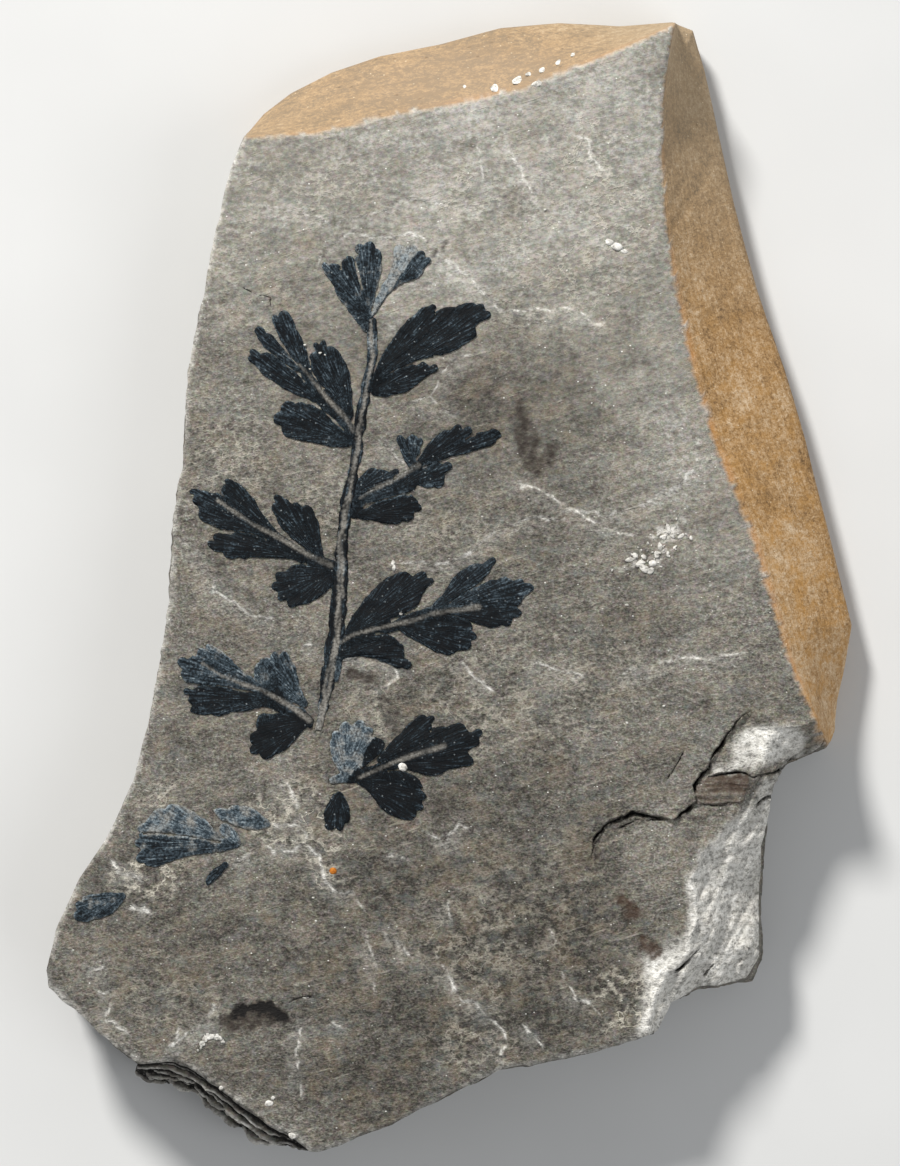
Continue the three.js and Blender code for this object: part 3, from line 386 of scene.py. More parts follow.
def spalled_corner(points, rock):
    """A bench below the face, then a splintered slope down to the side, chalky where fresh, with a
    painted highlight along the ridge and painted shade down the slope past it.
    """
    rim, _ = from_line(points, SPALL_BENCH[:SPALL_RIM])
    edge = np.where(inside(points, SPALL_BENCH), smooth(0, 0.2, np.abs(rim)), 0)
    edge = edge * smooth(-37, -33, points[:, 1])
    rock["z"] -= edge * (0.12 + 0.45 * smooth(-28, -23, points[:, 1]))
    lie = points @ SPALL_GRAIN
    splinter = noise(lie, [7.5, 0.9], 7, 4)
    lumps = noise(points, 2.4, 6, 3)
    past = -from_line(points, SPALL_RIDGE[::-1])[0] + 0.6 * lumps
    corner = smooth(-12.8, -13.8, points[:, 1]) * smooth(18.0, 20.0, points[:, 0])
    slope = np.maximum(past, 0) * corner
    rock["z"] -= slope * SPALL_FALL
    rock["z"] += (0.40 * splinter + 0.07 * noise(points, 0.6, 36, 3)) * smooth(0, 1.2, slope)
    rock["z"] += 0.13 * noise(lie, [4.0, 0.42], 46, 2) * smooth(-1.5, 0.5, past) * corner
    rock["z"] += corner * 0.40 * smooth(1.0, 0.0, np.abs(past + 0.4)) * (0.6 + 0.5 * splinter)
    # The chalk is painted brighter along the ridge as a highlight, and a little darker down the
    # slope past the ridge as painted shade.
    ridge_highlight = np.exp(-((past + 0.1) / 0.7) ** 2)
    for patch, bright in zip(CHALK, CHALK_BRIGHTNESS):
        held = smooth(-0.5, 0.9, depth_in(points, np.array(patch)) + 0.55 * lumps)
        held = held * (0.85 + 0.15 * smooth(1.0, -0.2, past))
        chalky = bright + 0.22 * splinter + 0.12 * lumps + 0.28 * ridge_highlight
        raise_to(rock, "pale", held * np.clip(chalky, 0, 1))
    valley, share = from_line(points, SPALL_VALLEY)
    ends = smooth(0, 0.2, share) * smooth(1, 0.7, share)
    rock["z"] -= 0.30 * np.exp(-(valley / 0.8) ** 2) * ends


def brown_lens(points, rock):
    """The lens stands out of the spall in thin brown leaves, with no chalk on it."""
    on_lens = smooth(-0.12, 0.20, depth_in(points, BROWN_LENS) + 0.24 * noise(points, 0.7, 55, 3))
    leaves = noise(points, [4.0, 0.42], 37, 2)
    rock["z"] += on_lens * (0.30 + 0.22 * leaves)
    rock["pale"] *= 1 - on_lens
    raise_to(rock, "soot", on_lens * np.clip(0.46 - 0.85 * leaves, 0.05, 0.95))
    raise_to(rock, "rusty", 0.035 * on_lens)


def open_cracks(points, rock):
    """Cracks that wander, pinch and swell along their lines, painted dark inside as shade."""
    for line, depth, width in CRACKS:
        gap, share = from_line(points, line)
        gap = np.abs(gap + 0.17 * noise(points, 1.1, 8, 4))
        body = smooth(0, 0.12, share) * smooth(1, 0.88, share)
        body *= np.clip(0.65 + 0.6 * noise(points, 1.6, 43, 2), 0.1, 1)
        gape = smooth(width * (0.35 + 0.55 * body), width * 0.2, gap) * (0.25 + 0.75 * body)
        rock["z"] -= depth * gape
        # The inside of each crack is painted dark as shade.
        raise_to(rock, "dark", gape)


def dropped_lens(points, rock):
    """A lens has dropped out of the face; its bed is painted black as shadow under the crest, then
    brown.
    """
    depth = depth_in(points, np.vstack([DENT_CREST, DENT_FOOT]))
    held = smooth(-0.40, 0.25, depth + 0.40 * noise(points, 0.6, 41, 4))
    rock["z"] -= DENT_DEPTH * held
    below = np.abs(from_line(points, DENT_CREST)[0]) + 0.35 * noise(points, 0.5, 53, 2)
    # Painted shadow: the bed is black just below the crest.
    black = 0.88 * held * smooth(1.8, 0.5, below) * smooth(-23.6, -20.8, points[:, 0])
    raise_to(rock, "dark", black)
    raise_to(rock, "soot", 0.92 * held)


def plant_smudges(points, rock):
    """Scraps of plant leave soot; the strong ones round the spall are rusty too."""
    for x, y, rx, ry, turn, strength in SMUDGES:
        c, k = math.cos(turn), math.sin(turn)
        u, v = points[:, 0] - x, points[:, 1] - y
        far = ((u * c + v * k) / rx) ** 2 + ((v * c - u * k) / ry) ** 2
        smudge = smooth(1.5, 0.5, far + 0.8 * noise(points, 0.8, 39, 3))
        rock["z"] -= 0.12 * smudge * (strength > PRESSED)
        raise_to(rock, "soot", strength * smudge)
        if x > 15 and strength > 0.6:
            raise_to(rock, "rusty", 0.04 * smudge)


def ghost_leaf(points, rock):
    """The last leaf's print is a soft brown stain."""
    held = smooth(-0.15, 0.30, depth_in(points, GHOST_LEAF) + 0.22 * noise(points, 0.6, 50, 3))
    raise_to(rock, "soot", held * np.clip(0.84 + 0.5 * noise(points, [0.5, 1.6], 51, 3), 0.35, 1))


def fleck_dusting(points, rock):
    """Round the cluster of white flecks the face is dusted white."""
    gap, _ = from_line(points, FLECK_CLUSTER)
    dusting = smooth(1.7, 0.2, np.abs(gap)) * smooth(0.0, 0.7, noise(points, 0.8, 54, 3))
    raise_to(rock, "pale", 0.62 * dusting)


def film_prints(points, rock):
    """The carbon films lie in their own shallow prints."""
    for loop in leaf_loops.values():
        close = ((points > loop.min(0) - 0.5) & (points < loop.max(0) + 0.5)).all(1)
        if close.any():
            depth = depth_in(points[close], loop)
            rock["z"][close] -= PRINT_DEPTH * np.where(depth > 0, 1, 0.5 * smooth(-0.3, 0, depth))


def face_height(points):
    """Height of the bedding face above the table at each point, in mm, and how pale (chalk, partly
    painted highlight), how dark with painted shade, how smudged and how rusty the rock is there."""
    rock = {key: np.zeros(len(points)) for key in ("z", "pale", "dark", "soot", "rusty")}
    for work in (bedding_waves, lamina_steps, spalled_corner, brown_lens, open_cracks,
                 dropped_lens, plant_smudges, ghost_leaf, fleck_dusting, film_prints):
        work(points, rock)
    return [rock["z"]] + [np.clip(rock[key], 0, 1) for key in ("pale", "dark", "soot", "rusty")]


def open_edges(rings):
    """The edges that only one face has, in the order in which they are met."""
    once = {}
    for ring in rings:
        for a, b in zip(ring, ring[1:] + ring[:1]):
            if (b, a) in once:
                del once[(b, a)]
            else:
                once[(a, b)] = True
    return list(once)


def film_loop(node):
    """The closed loop round the upper face of a film in the frame, in mm."""
    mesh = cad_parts[node].data
    mesh.calc_loop_triangles()
    spots = np.array([v.co for v in mesh.vertices]) / MM
    keys = [tuple(np.round(p, 3)) for p in spots[:, :2]]
    follow = dict(open_edges([keys[i] for i in tri.vertices]
                             for tri in mesh.loop_triangles if tri.normal.z >= 0.9))
    loops = []
    while follow:
        start, here = follow.popitem()
        loop = [start]
        while here != start and here in follow:
            loop.append(here)
            here = follow.pop(here)
        loops.append(np.array(loop))
    return max(loops, key=len)


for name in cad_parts:
    if name != "shale_plate":
        leaf_loops[name] = film_loop(name)


def hex_grid(low, high, spacing, seed):
    """Points of a slightly shaken triangular grid over a rectangle."""
    rows = np.arange(low[1], high[1], spacing * 0.866)
    columns = np.arange(low[0], high[0], spacing)
    x, y = np.meshgrid(columns, rows)
    x = x + (np.arange(len(rows)) % 2)[:, None] * spacing / 2
    grid = np.stack([x.ravel(), y.ravel()], 1)
    shake = np.random.default_rng(seed).uniform(-0.18, 0.18, grid.shape) * spacing
    return grid + shake


def triangles_inside(ring, points, test):
    """Triangulates a ring and the points in it; returns all points and the triangles inside."""
    spots = np.vstack([ring, points])
    edges = [(i, (i + 1) % len(ring)) for i in range(len(ring))]
    made = delaunay_2d_cdt([Vector(p) for p in spots], edges, [], 0, 1e-6)
    flat = np.array([tuple(v) for v in made[0]])
    tris = np.array([f for f in made[2] if len(f) == 3])
    return flat, tris[test(flat[tris].mean(1))]


# ---- The rim, then the face inside it, with finer points where its relief is finer.

FACE_SPACING = 0.46
SLOPE_SPACING = 0.24
SLOPE_LOW, SLOPE_HIGH = [19.0, -45.0], [36.5, -13.5]
SLOPE_MARGIN = 1.2      # the finer points of the slope start this far above its ridge
RIM_SPACING = 0.33
STEP_ROWS = (-0.32, -0.14, 0.02, 0.18, 0.36)
CRACK_ROWS = np.arange(-0.42, 0.45, 0.12)
ROW_SPACING = 0.11      # the closest that two points of the rows stand
ROW_CLEARANCE = 0.3
# Low corner, high corner, spacing and seed: the dropped-out lens, the flecks, the brown lens.
CLOSE_UPS = (([-24.2, -45.0], [-15.4, -41.0], 0.17, 8), ([16.0, 0.6], [24.6, 7.6], 0.18, 9),
             ([24.0, -22.6], [31.0, -18.2], 0.15, 10))

bearings = np.sort(from_heart(dense(LIP, RIM_SPACING, closed=True))[0])
out = np.stack([np.cos(bearings), np.sin(bearings)], 1)
rim_count = len(bearings)
# 1 where the side is a joint face, 0 where it is broken.
right_bearing, top_bearing = from_heart(LIP[[RIGHT_CORNER, TOP_LEFT_CORNER]])[0]
joint = smooth(right_bearing - 0.012, right_bearing + 0.012, bearings)
joint *= smooth(top_bearing + 0.010, top_bearing - 0.010, bearings)
circle = HEART + out * 50
ragged = 0.16 * noise(circle, 2.9, 11, 3) + 0.07 * noise(circle, 0.9, 12, 2)
lip_reach = reach_of(LIP, bearings) + ragged * (1 - 0.65 * joint)
belt_reach = reach_of(BELT, bearings)
sheet_out = np.maximum(reach_of(SHEET_REACH, bearings, closed=False) - lip_reach, 0)
sheeted = smooth(0.15, 0.9, sheet_out)
lip = HEART + out * lip_reach[:, None]


def round_rim(values, at):
    """What values given all round the rim come to at other bearings."""
    return np.interp(at, bearings, values, period=2 * math.pi)


def within(points, reach, margin):
    """Whether each point lies more than a margin inside a rim of the given reach."""
    bear, far = from_heart(points)
    return far < round_rim(reach, bear) - margin


def beside(line, offsets):
    """Rows of points along a line, one at each offset to its left."""
    slant = np.gradient(line, axis=0)
    slant /= np.linalg.norm(slant, axis=1)[:, None] + 1e-9
    across = np.stack([-slant[:, 1], slant[:, 0]], 1)
    return [line + across * offset for offset in offsets]


def on_slope(points):
    return from_line(points, SPALL_RIDGE[::-1])[0] < SLOPE_MARGIN


ledges = [dense(line, 0.2) for line, _, _ in LAMINA_STEPS]
ledges += [dense(SPALL_BENCH[:SPALL_RIM], 0.25), dense(SPALL_RIDGE, 0.3)]
clefts = [dense(line, 0.14) for line, _, _ in CRACKS]
rows = np.vstack([row for line in ledges for row in beside(line, STEP_ROWS)]
                 + [row for line in clefts for row in beside(line, CRACK_ROWS)])
_, first = np.unique(np.round(rows / ROW_SPACING).astype(int), axis=0, return_index=True)
rows = rows[first]
# The even grid leaves room where the rows run.
grid = hex_grid(LIP.min(0), LIP.max(0), FACE_SPACING, 5)
taken = {tuple(key) for key in np.round(rows / ROW_CLEARANCE).astype(int)}
grid = grid[[tuple(key) not in taken for key in np.round(grid / ROW_CLEARANCE).astype(int)]]
slope_points = hex_grid(SLOPE_LOW, SLOPE_HIGH, SLOPE_SPACING, 7)
slope_points = slope_points[on_slope(slope_points)]
in_corner = (grid[:, 0] > SLOPE_LOW[0]) & (grid[:, 1] < SLOPE_HIGH[1])
grid = grid[~(in_corner & on_slope(grid))]
face_points = np.vstack([rows, grid, slope_points] + [hex_grid(*patch) for patch in CLOSE_UPS])
face_points = face_points[within(face_points, lip_reach, 0.22)]
face_xy, face_tris = triangles_inside(lip, face_points, lambda c: within(c, lip_reach, -0.001))
face_z, face_pale, face_dark, face_soot, face_rust = face_height(face_xy)
face_bearing, face_far = from_heart(face_xy)
inset = round_rim(lip_reach, face_bearing) - face_far
is_joint = round_rim(joint, face_bearing)
# The edge of the face is chipped, most of all at the lower left.
lower_left = smooth(-20, -26, face_xy[:, 1]) * smooth(-8, -14, face_xy[:, 0])
chipped = smooth(0.55 + 0.4 * lower_left, 0.0,
                 inset + 0.22 * noise(face_xy, 2.2, 13, 3) + 0.2 * is_joint)
face_z -= (0.22 + 0.15 * lower_left) * chipped
face_pale = np.maximum(face_pale, 0.5 * chipped * (0.75 + 0.5 * noise(face_xy, 1.5, 14, 2)))
face_count = len(face_xy)

# ---- The sides, in level rows from the lip down to the foot, and the underside.

WALL_ROWS = 20
UNDERSIDE_SPACING = 1.4
SHEET_SETBACK = 0.9         # the side stands back this far behind the split sheets

lip_z = face_z[:rim_count]
walls = []
for level in np.linspace(0, 1, WALL_ROWS + 1)[1:]:
    height = lip_z * (1 - level)
    rise = np.clip((height - BELT_HEIGHT) / np.maximum(lip_z - BELT_HEIGHT, 0.5), 0, 1)
    tuck = FOOT_TUCK * np.clip(1 - height / BELT_HEIGHT, 0, 1) ** 2
    reach = belt_reach + (lip_reach - belt_reach) * rise - tuck
    spot = np.column_stack([HEART + out * reach[:, None], height])
    strata = noise(spot, [6.0, 6.0, 0.9], 15, 3) * 0.42
    strata += noise(spot, [2.5, 2.5, 0.5], 16, 3) * 0.20
    swell = noise(spot, [14, 14, 9], 17, 2) * 0.09 + noise(spot, [5, 5, 0.7], 18, 3) * 0.03
    reach = reach + (strata * (1 - joint) + swell * joint) * min(1, level * 9)
    reach = reach * (1 - sheeted) + (lip_reach - SHEET_SETBACK) * sheeted
    wobble = 0.12 * noise(np.column_stack([circle, height]), [6, 6, 3], 20, 2)
    height = height + wobble * min(1, level * 5)
    if level == 1:
        height = 0.12 + 0.10 * noise(circle, 3, 22, 2)
    walls.append(np.column_stack([HEART + out * reach[:, None], height]))

foot = walls[-1]
foot_reach = from_heart(foot)[1]
under_points = hex_grid(BELT.min(0), BELT.max(0), UNDERSIDE_SPACING, 6)
under_points = under_points[within(under_points, foot_reach, 0.5)]
under_xy, under_tris = triangles_inside(
    foot[:, :2], under_points, lambda c: within(c, foot_reach, -0.001))
under_z = 0.10 + 0.10 * noise(under_xy, 9, 23, 3) + 0.03 * noise(under_xy, 2, 24, 2)
under_z = np.maximum(under_z, 0)
under_count = len(under_xy) - rim_count

verts = np.vstack([np.column_stack([face_xy, face_z])] + walls
                  + [np.column_stack([under_xy, under_z])[rim_count:]])
rings = [np.arange(rim_count)] + [face_count + row * rim_count + np.arange(rim_count)
                                  for row in range(WALL_ROWS)]
triangles = [face_tris]
for upper, lower in zip(rings, rings[1:]):
    triangles.append(np.column_stack([upper, lower, np.roll(lower, -1)]))
    triangles.append(np.column_stack([upper, np.roll(lower, -1), np.roll(upper, -1)]))
renumber = np.r_[rings[-1], rings[-1][-1] + 1 + np.arange(under_count)]
triangles.append(renumber[under_tris][:, ::-1])
triangles = np.vstack(triangles)

# ---- What the stone's finish needs to know at every point.

# Weathered patches of the face: centre, reach along x and y, and how much lighter they are.
TONE_PATCHES = [
    (0, 48, 30, 16, 0.34), (14, 30, 12, 18, 0.14), (-21, 30, 7, 22, 0.08), (5, 19, 9, 7, -0.19),
    (12, 19, 9, 8, -0.10), (27, 4, 5, 14, 0.10), (10, -4, 14, 8, -0.02),
    (0, -24, 22, 12, -0.10), (12, -36, 9, 9, -0.22), (-4, -40, 14, 12, -0.12),
    (-28, -38, 10, 10, -0.09), (20, -27, 5, 4, 0.12), (-20, -20, 10, 5, 0.02),
    (-1, 30, 5, 5, 0.15), (-24, 4, 4, 12, -0.02), (-8, -50, 10, 5, -0.15), (20, 16, 6, 8, 0.18),
    (6, 18, 6, 5, 0.06), (6, 4, 9, 4, -0.05), (0, 44, 16, 5, -0.08), (11, 44, 6, 5, -0.08),
    (-17, 38, 8, 8, -0.03), (17, 45, 4, 8, -0.02), (21, -30, 3, 4, 0.06),
    (6, -44, 12, 4, -0.09), (-22, 12, 5, 9, -0.06),
]


def over_plate(face, side=0.0, under=0.0):
    """One value a point: for the face, for a row of the sides repeated, for the underside."""
    return np.r_[face, np.tile(np.zeros(rim_count) + side, WALL_ROWS), np.full(under_count, under)]


rind = smooth(0.28, 0.0, inset + 0.25 * noise(face_xy, 0.8, 25, 2)) * is_joint
tone = np.zeros(len(verts))
for x, y, rx, ry, lift in TONE_PATCHES:
    tone += lift * np.exp(-((verts[:, 0] - x) / rx) ** 2 - ((verts[:, 1] - y) / ry) ** 2)
crazed = np.zeros(len(verts))
frayed = 0.5 * noise(verts[:, :2], 2.5, 40, 2)
for x, y, rx, ry, strength in CRAZED:
    far = ((verts[:, 0] - x) / rx) ** 2 + ((verts[:, 1] - y) / ry) ** 2
    crazed = np.maximum(crazed, strength * smooth(1.3, 0.3, far + frayed))
# How far along the rim and down the side each point of the sides lies.
run = np.zeros((len(verts), 3))
along_rim = np.r_[0, np.cumsum(np.linalg.norm(np.diff(lip, axis=0), axis=1))]
for ring, wall in zip(rings[1:], walls):
    down = np.linalg.norm(wall[:, :2] - lip, axis=1) + 0.35 * (PLATE_TOP - wall[:, 2])
    run[ring, :2] = np.column_stack([along_rim, down])
to_top_right = verts[:, 1] + 0.3 * verts[:, 0] + 6 * noise(verts[:, :2], 9, 52, 2)
# The mask that darkens the cracks, the dropped lens's bed, the side behind the split sheets and
# the sheets' hidden parts is painted shade.
masks = {
    "rind": over_plate(rind, joint), "side": over_plate(smooth(0.35, 0, inset), 1.0, 1.0),
    "coarse": smooth(36, -6, to_top_right), "pale": over_plate(face_pale),
    "gloom": over_plate(face_dark, 0.9 * sheeted), "tone": tone, "crazed": crazed,
    "soot": over_plate(face_soot), "run": run, "ochre": over_plate(face_rust)}


def add_shell(spots, tris, given):
    """Joins one more closed shell to the plate; masks that aren't given are 0 on it."""
    global verts, triangles
    triangles = np.vstack([triangles, tris + len(verts)])
    verts = np.vstack([verts, spots])
    for key, values in masks.items():
        more = given.get(key, np.zeros((len(spots),) + values.shape[1:]))
        masks[key] = np.concatenate([values, more])


# ---- The split sheets at the lower left.  Each is a closed shell rooted under the lip.

# How far down each sheet lies, its thickness, and its share of the full reach.
SHEETS = [
    (0.75, 0.30, 0.08), (1.45, 0.30, 0.34), (2.05, 0.25, 0.24), (2.6, 0.40, 0.56),
    (3.5, 0.28, 0.44), (4.1, 0.45, 0.74), (5.0, 0.30, 0.60), (5.7, 0.8, 0.90), (6.9, 0.5, 0.76),
    (7.7, 1.2, 0.97), (9.3, 1.0, 0.86), (10.7, 3.0, 0.94),
]
SHEET_ROW = 7
SHEET_STATIONS = 120
SHEET_ROOT = 1.4
edge_angles = from_heart(SHEET_REACH)[0]
stations = np.linspace(edge_angles.min() - 0.012, edge_angles.max() + 0.010, SHEET_STATIONS)
ray = np.stack([np.cos(stations), np.sin(stations)], 1)
around = ray * 40
lip_here = round_rim(lip_reach, stations)
top_here = round_rim(lip_z, stations)
out_here = round_rim(sheet_out, stations)
passed = np.linspace(0, 1, SHEET_STATIONS)
ends = smooth(0, 0.05, passed) * smooth(1, 0.95, passed)
spread = np.linspace(0, 1, SHEET_ROW)[None, :] ** 0.7
ring = 2 * SHEET_ROW
i, j = np.meshgrid(np.arange(SHEET_STATIONS - 1), np.arange(ring), indexing="ij")
a, b = i * ring + j, i * ring + (j + 1) % ring
quads = np.stack([a, b, b + ring, a + ring], 2).reshape(-1, 4)
fan = np.arange(1, ring - 1)
last = (SHEET_STATIONS - 1) * ring
sheet_tris = np.vstack([
    quads[:, [0, 1, 2]], quads[:, [0, 2, 3]],
    np.column_stack([np.zeros_like(fan), fan + 1, fan]),
    np.column_stack([np.full_like(fan, last), last + fan, last + fan + 1])])
hidden_share = 0.0
for number, (drop, thick, share) in enumerate(SHEETS):
    jag = 0.44 * noise(around, 1.7, 60 + number, 4) + 0.12 * np.round(
        2 * noise(around, 0.9, 80 + number, 2))
    inner = lip_here - SHEET_ROOT
    outer = inner + (SHEET_ROOT + out_here * share + jag * (0.3 + share)) * ends
    radius = inner[:, None] + (outer - inner)[:, None] * spread
    flat = (HEART + ray[:, None, :] * radius[:, :, None]).reshape(-1, 2)
    warp = (0.10 * noise(flat, 3.0, 90 + number, 2)).reshape(radius.shape)
    splinters = (0.07 * noise(flat, [1.6, 0.5], 100 + number, 3)).reshape(radius.shape)
    upper = top_here[:, None] - drop + warp + splinters - 0.05 * spread ** 6
    lower = np.maximum(upper - thick * (1 - 0.5 * spread ** 8) - splinters, 0.12)
    upper = np.maximum(upper, lower + 0.05)
    section_r = np.hstack([radius, radius[:, ::-1]])
    section_z = np.hstack([upper, lower[:, ::-1]])
    spots = np.concatenate([HEART + ray[:, None, :] * section_r[:, :, None],
                            section_z[:, :, None]], 2).reshape(-1, 3)
    # Painted shade: light reaches only as far in as the sheets above leave a sheet bare, so each
    # sheet is painted dark further in, and its underside at least half dark.
    covered = out_here[:, None] * hidden_share
    shade = smooth(covered + 0.55, covered + 0.10, section_r - lip_here[:, None])
    hidden_share = max(hidden_share, share)
    shade = np.maximum(shade, np.hstack([np.zeros_like(upper), np.full_like(lower, 0.5)]))
    # Painted highlight along each sheet's own outer edge.
    painted_rim_highlight = smooth(0.22, 0.0, outer[:, None] - section_r) * (
        0.55 + 0.40 * noise(around, 0.8, 110 + number, 2))[:, None]
    add_shell(spots, sheet_tris, {
        "gloom": 0.9 * shade.ravel(), "side": np.ones(len(spots)), "pale": painted_rim_highlight.ravel(),
        "tone": np.full(len(spots), -0.12 + 0.05 * (number % 3))})

# ---- The mineral chips: flat little lumps that grew on the face, the joint and the films.

FILM_PROUD = 0.2
ball = bmesh.new()
bmesh.ops.create_icosphere(ball, subdivisions=2, radius=1)
lump = np.array([v.co for v in ball.verts])
lump_tris = np.array([[v.index for v in f.verts] for f in ball.faces])
ball.free()
random = np.random.default_rng(8)
chips = list(CHIPS)
for x, y in dense(FLECK_CLUSTER, 0.34):
    for _ in range(2):
        dx, dy = random.normal(0, 0.8, 2)
        chips.append((x + dx, y + dy, *random.uniform(0.06, 0.16, 2), random.uniform(0, 3)))
for number, (x, y) in enumerate(dense(CRESCENT, 0.10)):
    width = 0.10 + 0.09 * math.sin(number / 10)
    x, y = (x, y) + random.normal(0, 0.09, 2)
    chips.append((x, y, *random.uniform(0.9, 1.4, 2) * width, random.uniform(0, 3)))
chips.append(ORANGE_SPECK)
middles = np.array([chip[:2] for chip in chips])
chip_bearing, chip_far = from_heart(middles)
outward = (middles - HEART) / chip_far[:, None]
lip_at = round_rim(lip_reach, chip_bearing)
over = chip_far - lip_at
fall = (PLATE_TOP - BELT_HEIGHT) / np.maximum(round_rim(belt_reach, chip_bearing) - lip_at, 0.2)
ground = face_height(middles)[0] + 0.03 - 0.25 * smooth(0.5, 0.0, -over)
ground = np.where(over > 0, round_rim(lip_z, chip_bearing) - over * fall, ground)
for number, (x, y, rx, ry, turn) in enumerate(chips):
    shape = lump * (1 + 0.35 * noise(lump + number * 3.1, 0.8, 44, 2))[:, None]
    shape = shape * (rx, ry, 0.08 + 0.12 * min(rx, ry))
    c, k = math.cos(turn), math.sin(turn)
    spots = np.column_stack([x + shape[:, 0] * c - shape[:, 1] * k,
                             y + shape[:, 0] * k + shape[:, 1] * c,
                             ground[number] + FILM_PROUD * (number in ON_FILM) + shape[:, 2]])
    if over[number] > 0:
        spots[:, 2] -= (spots[:, :2] - middles[number]) @ outward[number] * fall[number]
    orange = number == len(chips) - 1
    white = 0 if orange else min(0.95, 0.62 + 0.62 * min(rx, ry))
    add_shell(spots, lump_tris, {"pale": np.full(len(spots), float(white)),
                                 "ochre": np.full(len(spots), float(orange))})


def build(name, spots, tris, masks):
    """A smooth mesh piece from points in mm, triangles, and named values for its points."""
    mesh = bpy.data.meshes.new(name)
    mesh.from_pydata((spots * MM).tolist(), [], tris.tolist())
    mesh.update()
    mesh.polygons.foreach_set("use_smooth", np.ones(len(mesh.polygons), bool))
    for mask, values in masks.items():
        kind, field = ("FLOAT", "value") if values.ndim == 1 else ("FLOAT_VECTOR", "vector")
        layer = mesh.attributes.new(mask, kind, "POINT")
        layer.data.foreach_set(field, np.ascontiguousarray(values, np.float32).ravel())
    piece = bpy.data.objects.new(name, mesh)
    bpy.context.scene.collection.objects.link(piece)
    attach(piece, "root")
    return piece


plate = build("shale_plate_stone", verts, triangles, masks)


# ---- The finishes' shared nodes: rock grain, and streaks drawn out along one direction.

def put(tree, kind, inputs=None, **settings):
    """Adds a node; each input takes a value or another node's output."""
    node = tree.nodes.new(kind)
    for key, value in settings.items():
        setattr(node, key, value)
    for key, value in (inputs or {}).items():
        if isinstance(value, bpy.types.NodeSocket):
            tree.links.new(value, node.inputs[key])
        else:
            node.inputs[key].default_value = value
    return node


def mix(tree, factor, a, b, how="MIX"):
    node = put(tree, "ShaderNodeMix", {0: factor, 6: a, 7: b}, data_type="RGBA", blend_type=how)
    return node.outputs[2]


def calc(tree, how, a, b=0.0, clamp=False):
    return put(tree, "ShaderNodeMath", {0: a, 1: b}, operation=how, use_clamp=clamp).outputs[0]


def times(tree, a, b):
    return calc(tree, "MULTIPLY", a, b)


def add(tree, *terms):
    total = terms[0]
    for term in terms[1:]:
        total = calc(tree, "ADD", total, term)
    return total


def fit(tree, value, low, high, to_low=0.0, to_high=1.0):
    return put(tree, "ShaderNodeMapRange", {"Value": value, "From Min": low, "From Max": high,
                                            "To Min": to_low, "To Max": to_high}).outputs[0]


def cloud(tree, place, scale, detail, rough, output=0):
    return put(tree, "ShaderNodeTexNoise", {"Vector": place, "Scale": scale, "Detail": detail,
                                            "Roughness": rough}).outputs[output]


def stretched(tree, place, by):
    return put(tree, "ShaderNodeVectorMath", {0: place, 1: by}, operation="MULTIPLY").outputs[0]


def mask_of(tree, name, output="Fac"):
    return put(tree, "ShaderNodeAttribute", attribute_name=name).outputs[output]


def colour(red, green, blue):
    """An sRGB colour of 0 to 255 as the linear values a node takes."""
    parts = [c / 255 for c in (red, green, blue)]
    return tuple(c / 12.92 if c < 0.04 else ((c + 0.055) / 1.055) ** 2.4 for c in parts) + (1,)


def ramp(tree, value, stops):
    node = put(tree, "ShaderNodeValToRGB", {"Fac": value})
    for _ in stops[2:]:
        node.color_ramp.elements.new(0.5)
    for element, (at, shade) in zip(node.color_ramp.elements, stops):
        element.position = at
        element.color = shade
    return node.outputs[0]


def new_group(name, inputs, outputs):
    """An empty node group, the outputs of its input node, and its output node."""
    tree = bpy.data.node_groups.new(name, "ShaderNodeTree")
    for label, kind, default in inputs:
        socket = tree.interface.new_socket(label, in_out="INPUT", socket_type=kind)
        if default is not None:
            socket.default_value = default
    for label in outputs:
        tree.interface.new_socket(label, in_out="OUTPUT", socket_type="NodeSocketFloat")
    return tree, tree.nodes.new("NodeGroupInput").outputs, tree.nodes.new("NodeGroupOutput")


def make_rock_grain():
    """Silt grains, mottling between them, bright flakes of mica and dark pits."""
    tree, given, end = new_group(
        "rock_grain",
        [("Place", "NodeSocketVector", None), ("Grain size", "NodeSocketFloat", 0.3),
         ("Mottle size", "NodeSocketFloat", 4.0), ("Mica share", "NodeSocketFloat", 0.02)],
        ["Grain", "Mottle", "Mica", "Pits"])
    per_mm = calc(tree, "DIVIDE", 1.0, given["Grain size"])
    per_mottle = calc(tree, "DIVIDE", 1.0, given["Mottle size"])
    grains = cloud(tree, given["Place"], per_mm, 3.0, 0.65)
    mottle = cloud(tree, given["Place"], per_mottle, 5.0, 0.6)
    flakes = put(tree, "ShaderNodeTexVoronoi", {
        "Vector": given["Place"], "Scale": times(tree, per_mm, 0.9)}).outputs
    pick = put(tree, "ShaderNodeSeparateColor", {0: flakes["Color"]}).outputs
    flake = times(tree, fit(tree, flakes["Distance"], 0.40, 0.12),
                  fit(tree, pick[2], 0, 1, 0.25, 1.0))
    is_mica = calc(tree, "LESS_THAN", pick[0], given["Mica share"])
    is_pit = calc(tree, "GREATER_THAN", pick[1], 0.88)
    for label, value in (("Grain", fit(tree, grains, 0.28, 0.72)),
                         ("Mottle", fit(tree, mottle, 0.3, 0.7)),
                         ("Mica", times(tree, is_mica, flake)),
                         ("Pits", times(tree, is_pit, flake))):
        tree.links.new(value, end.inputs[label])
    return tree


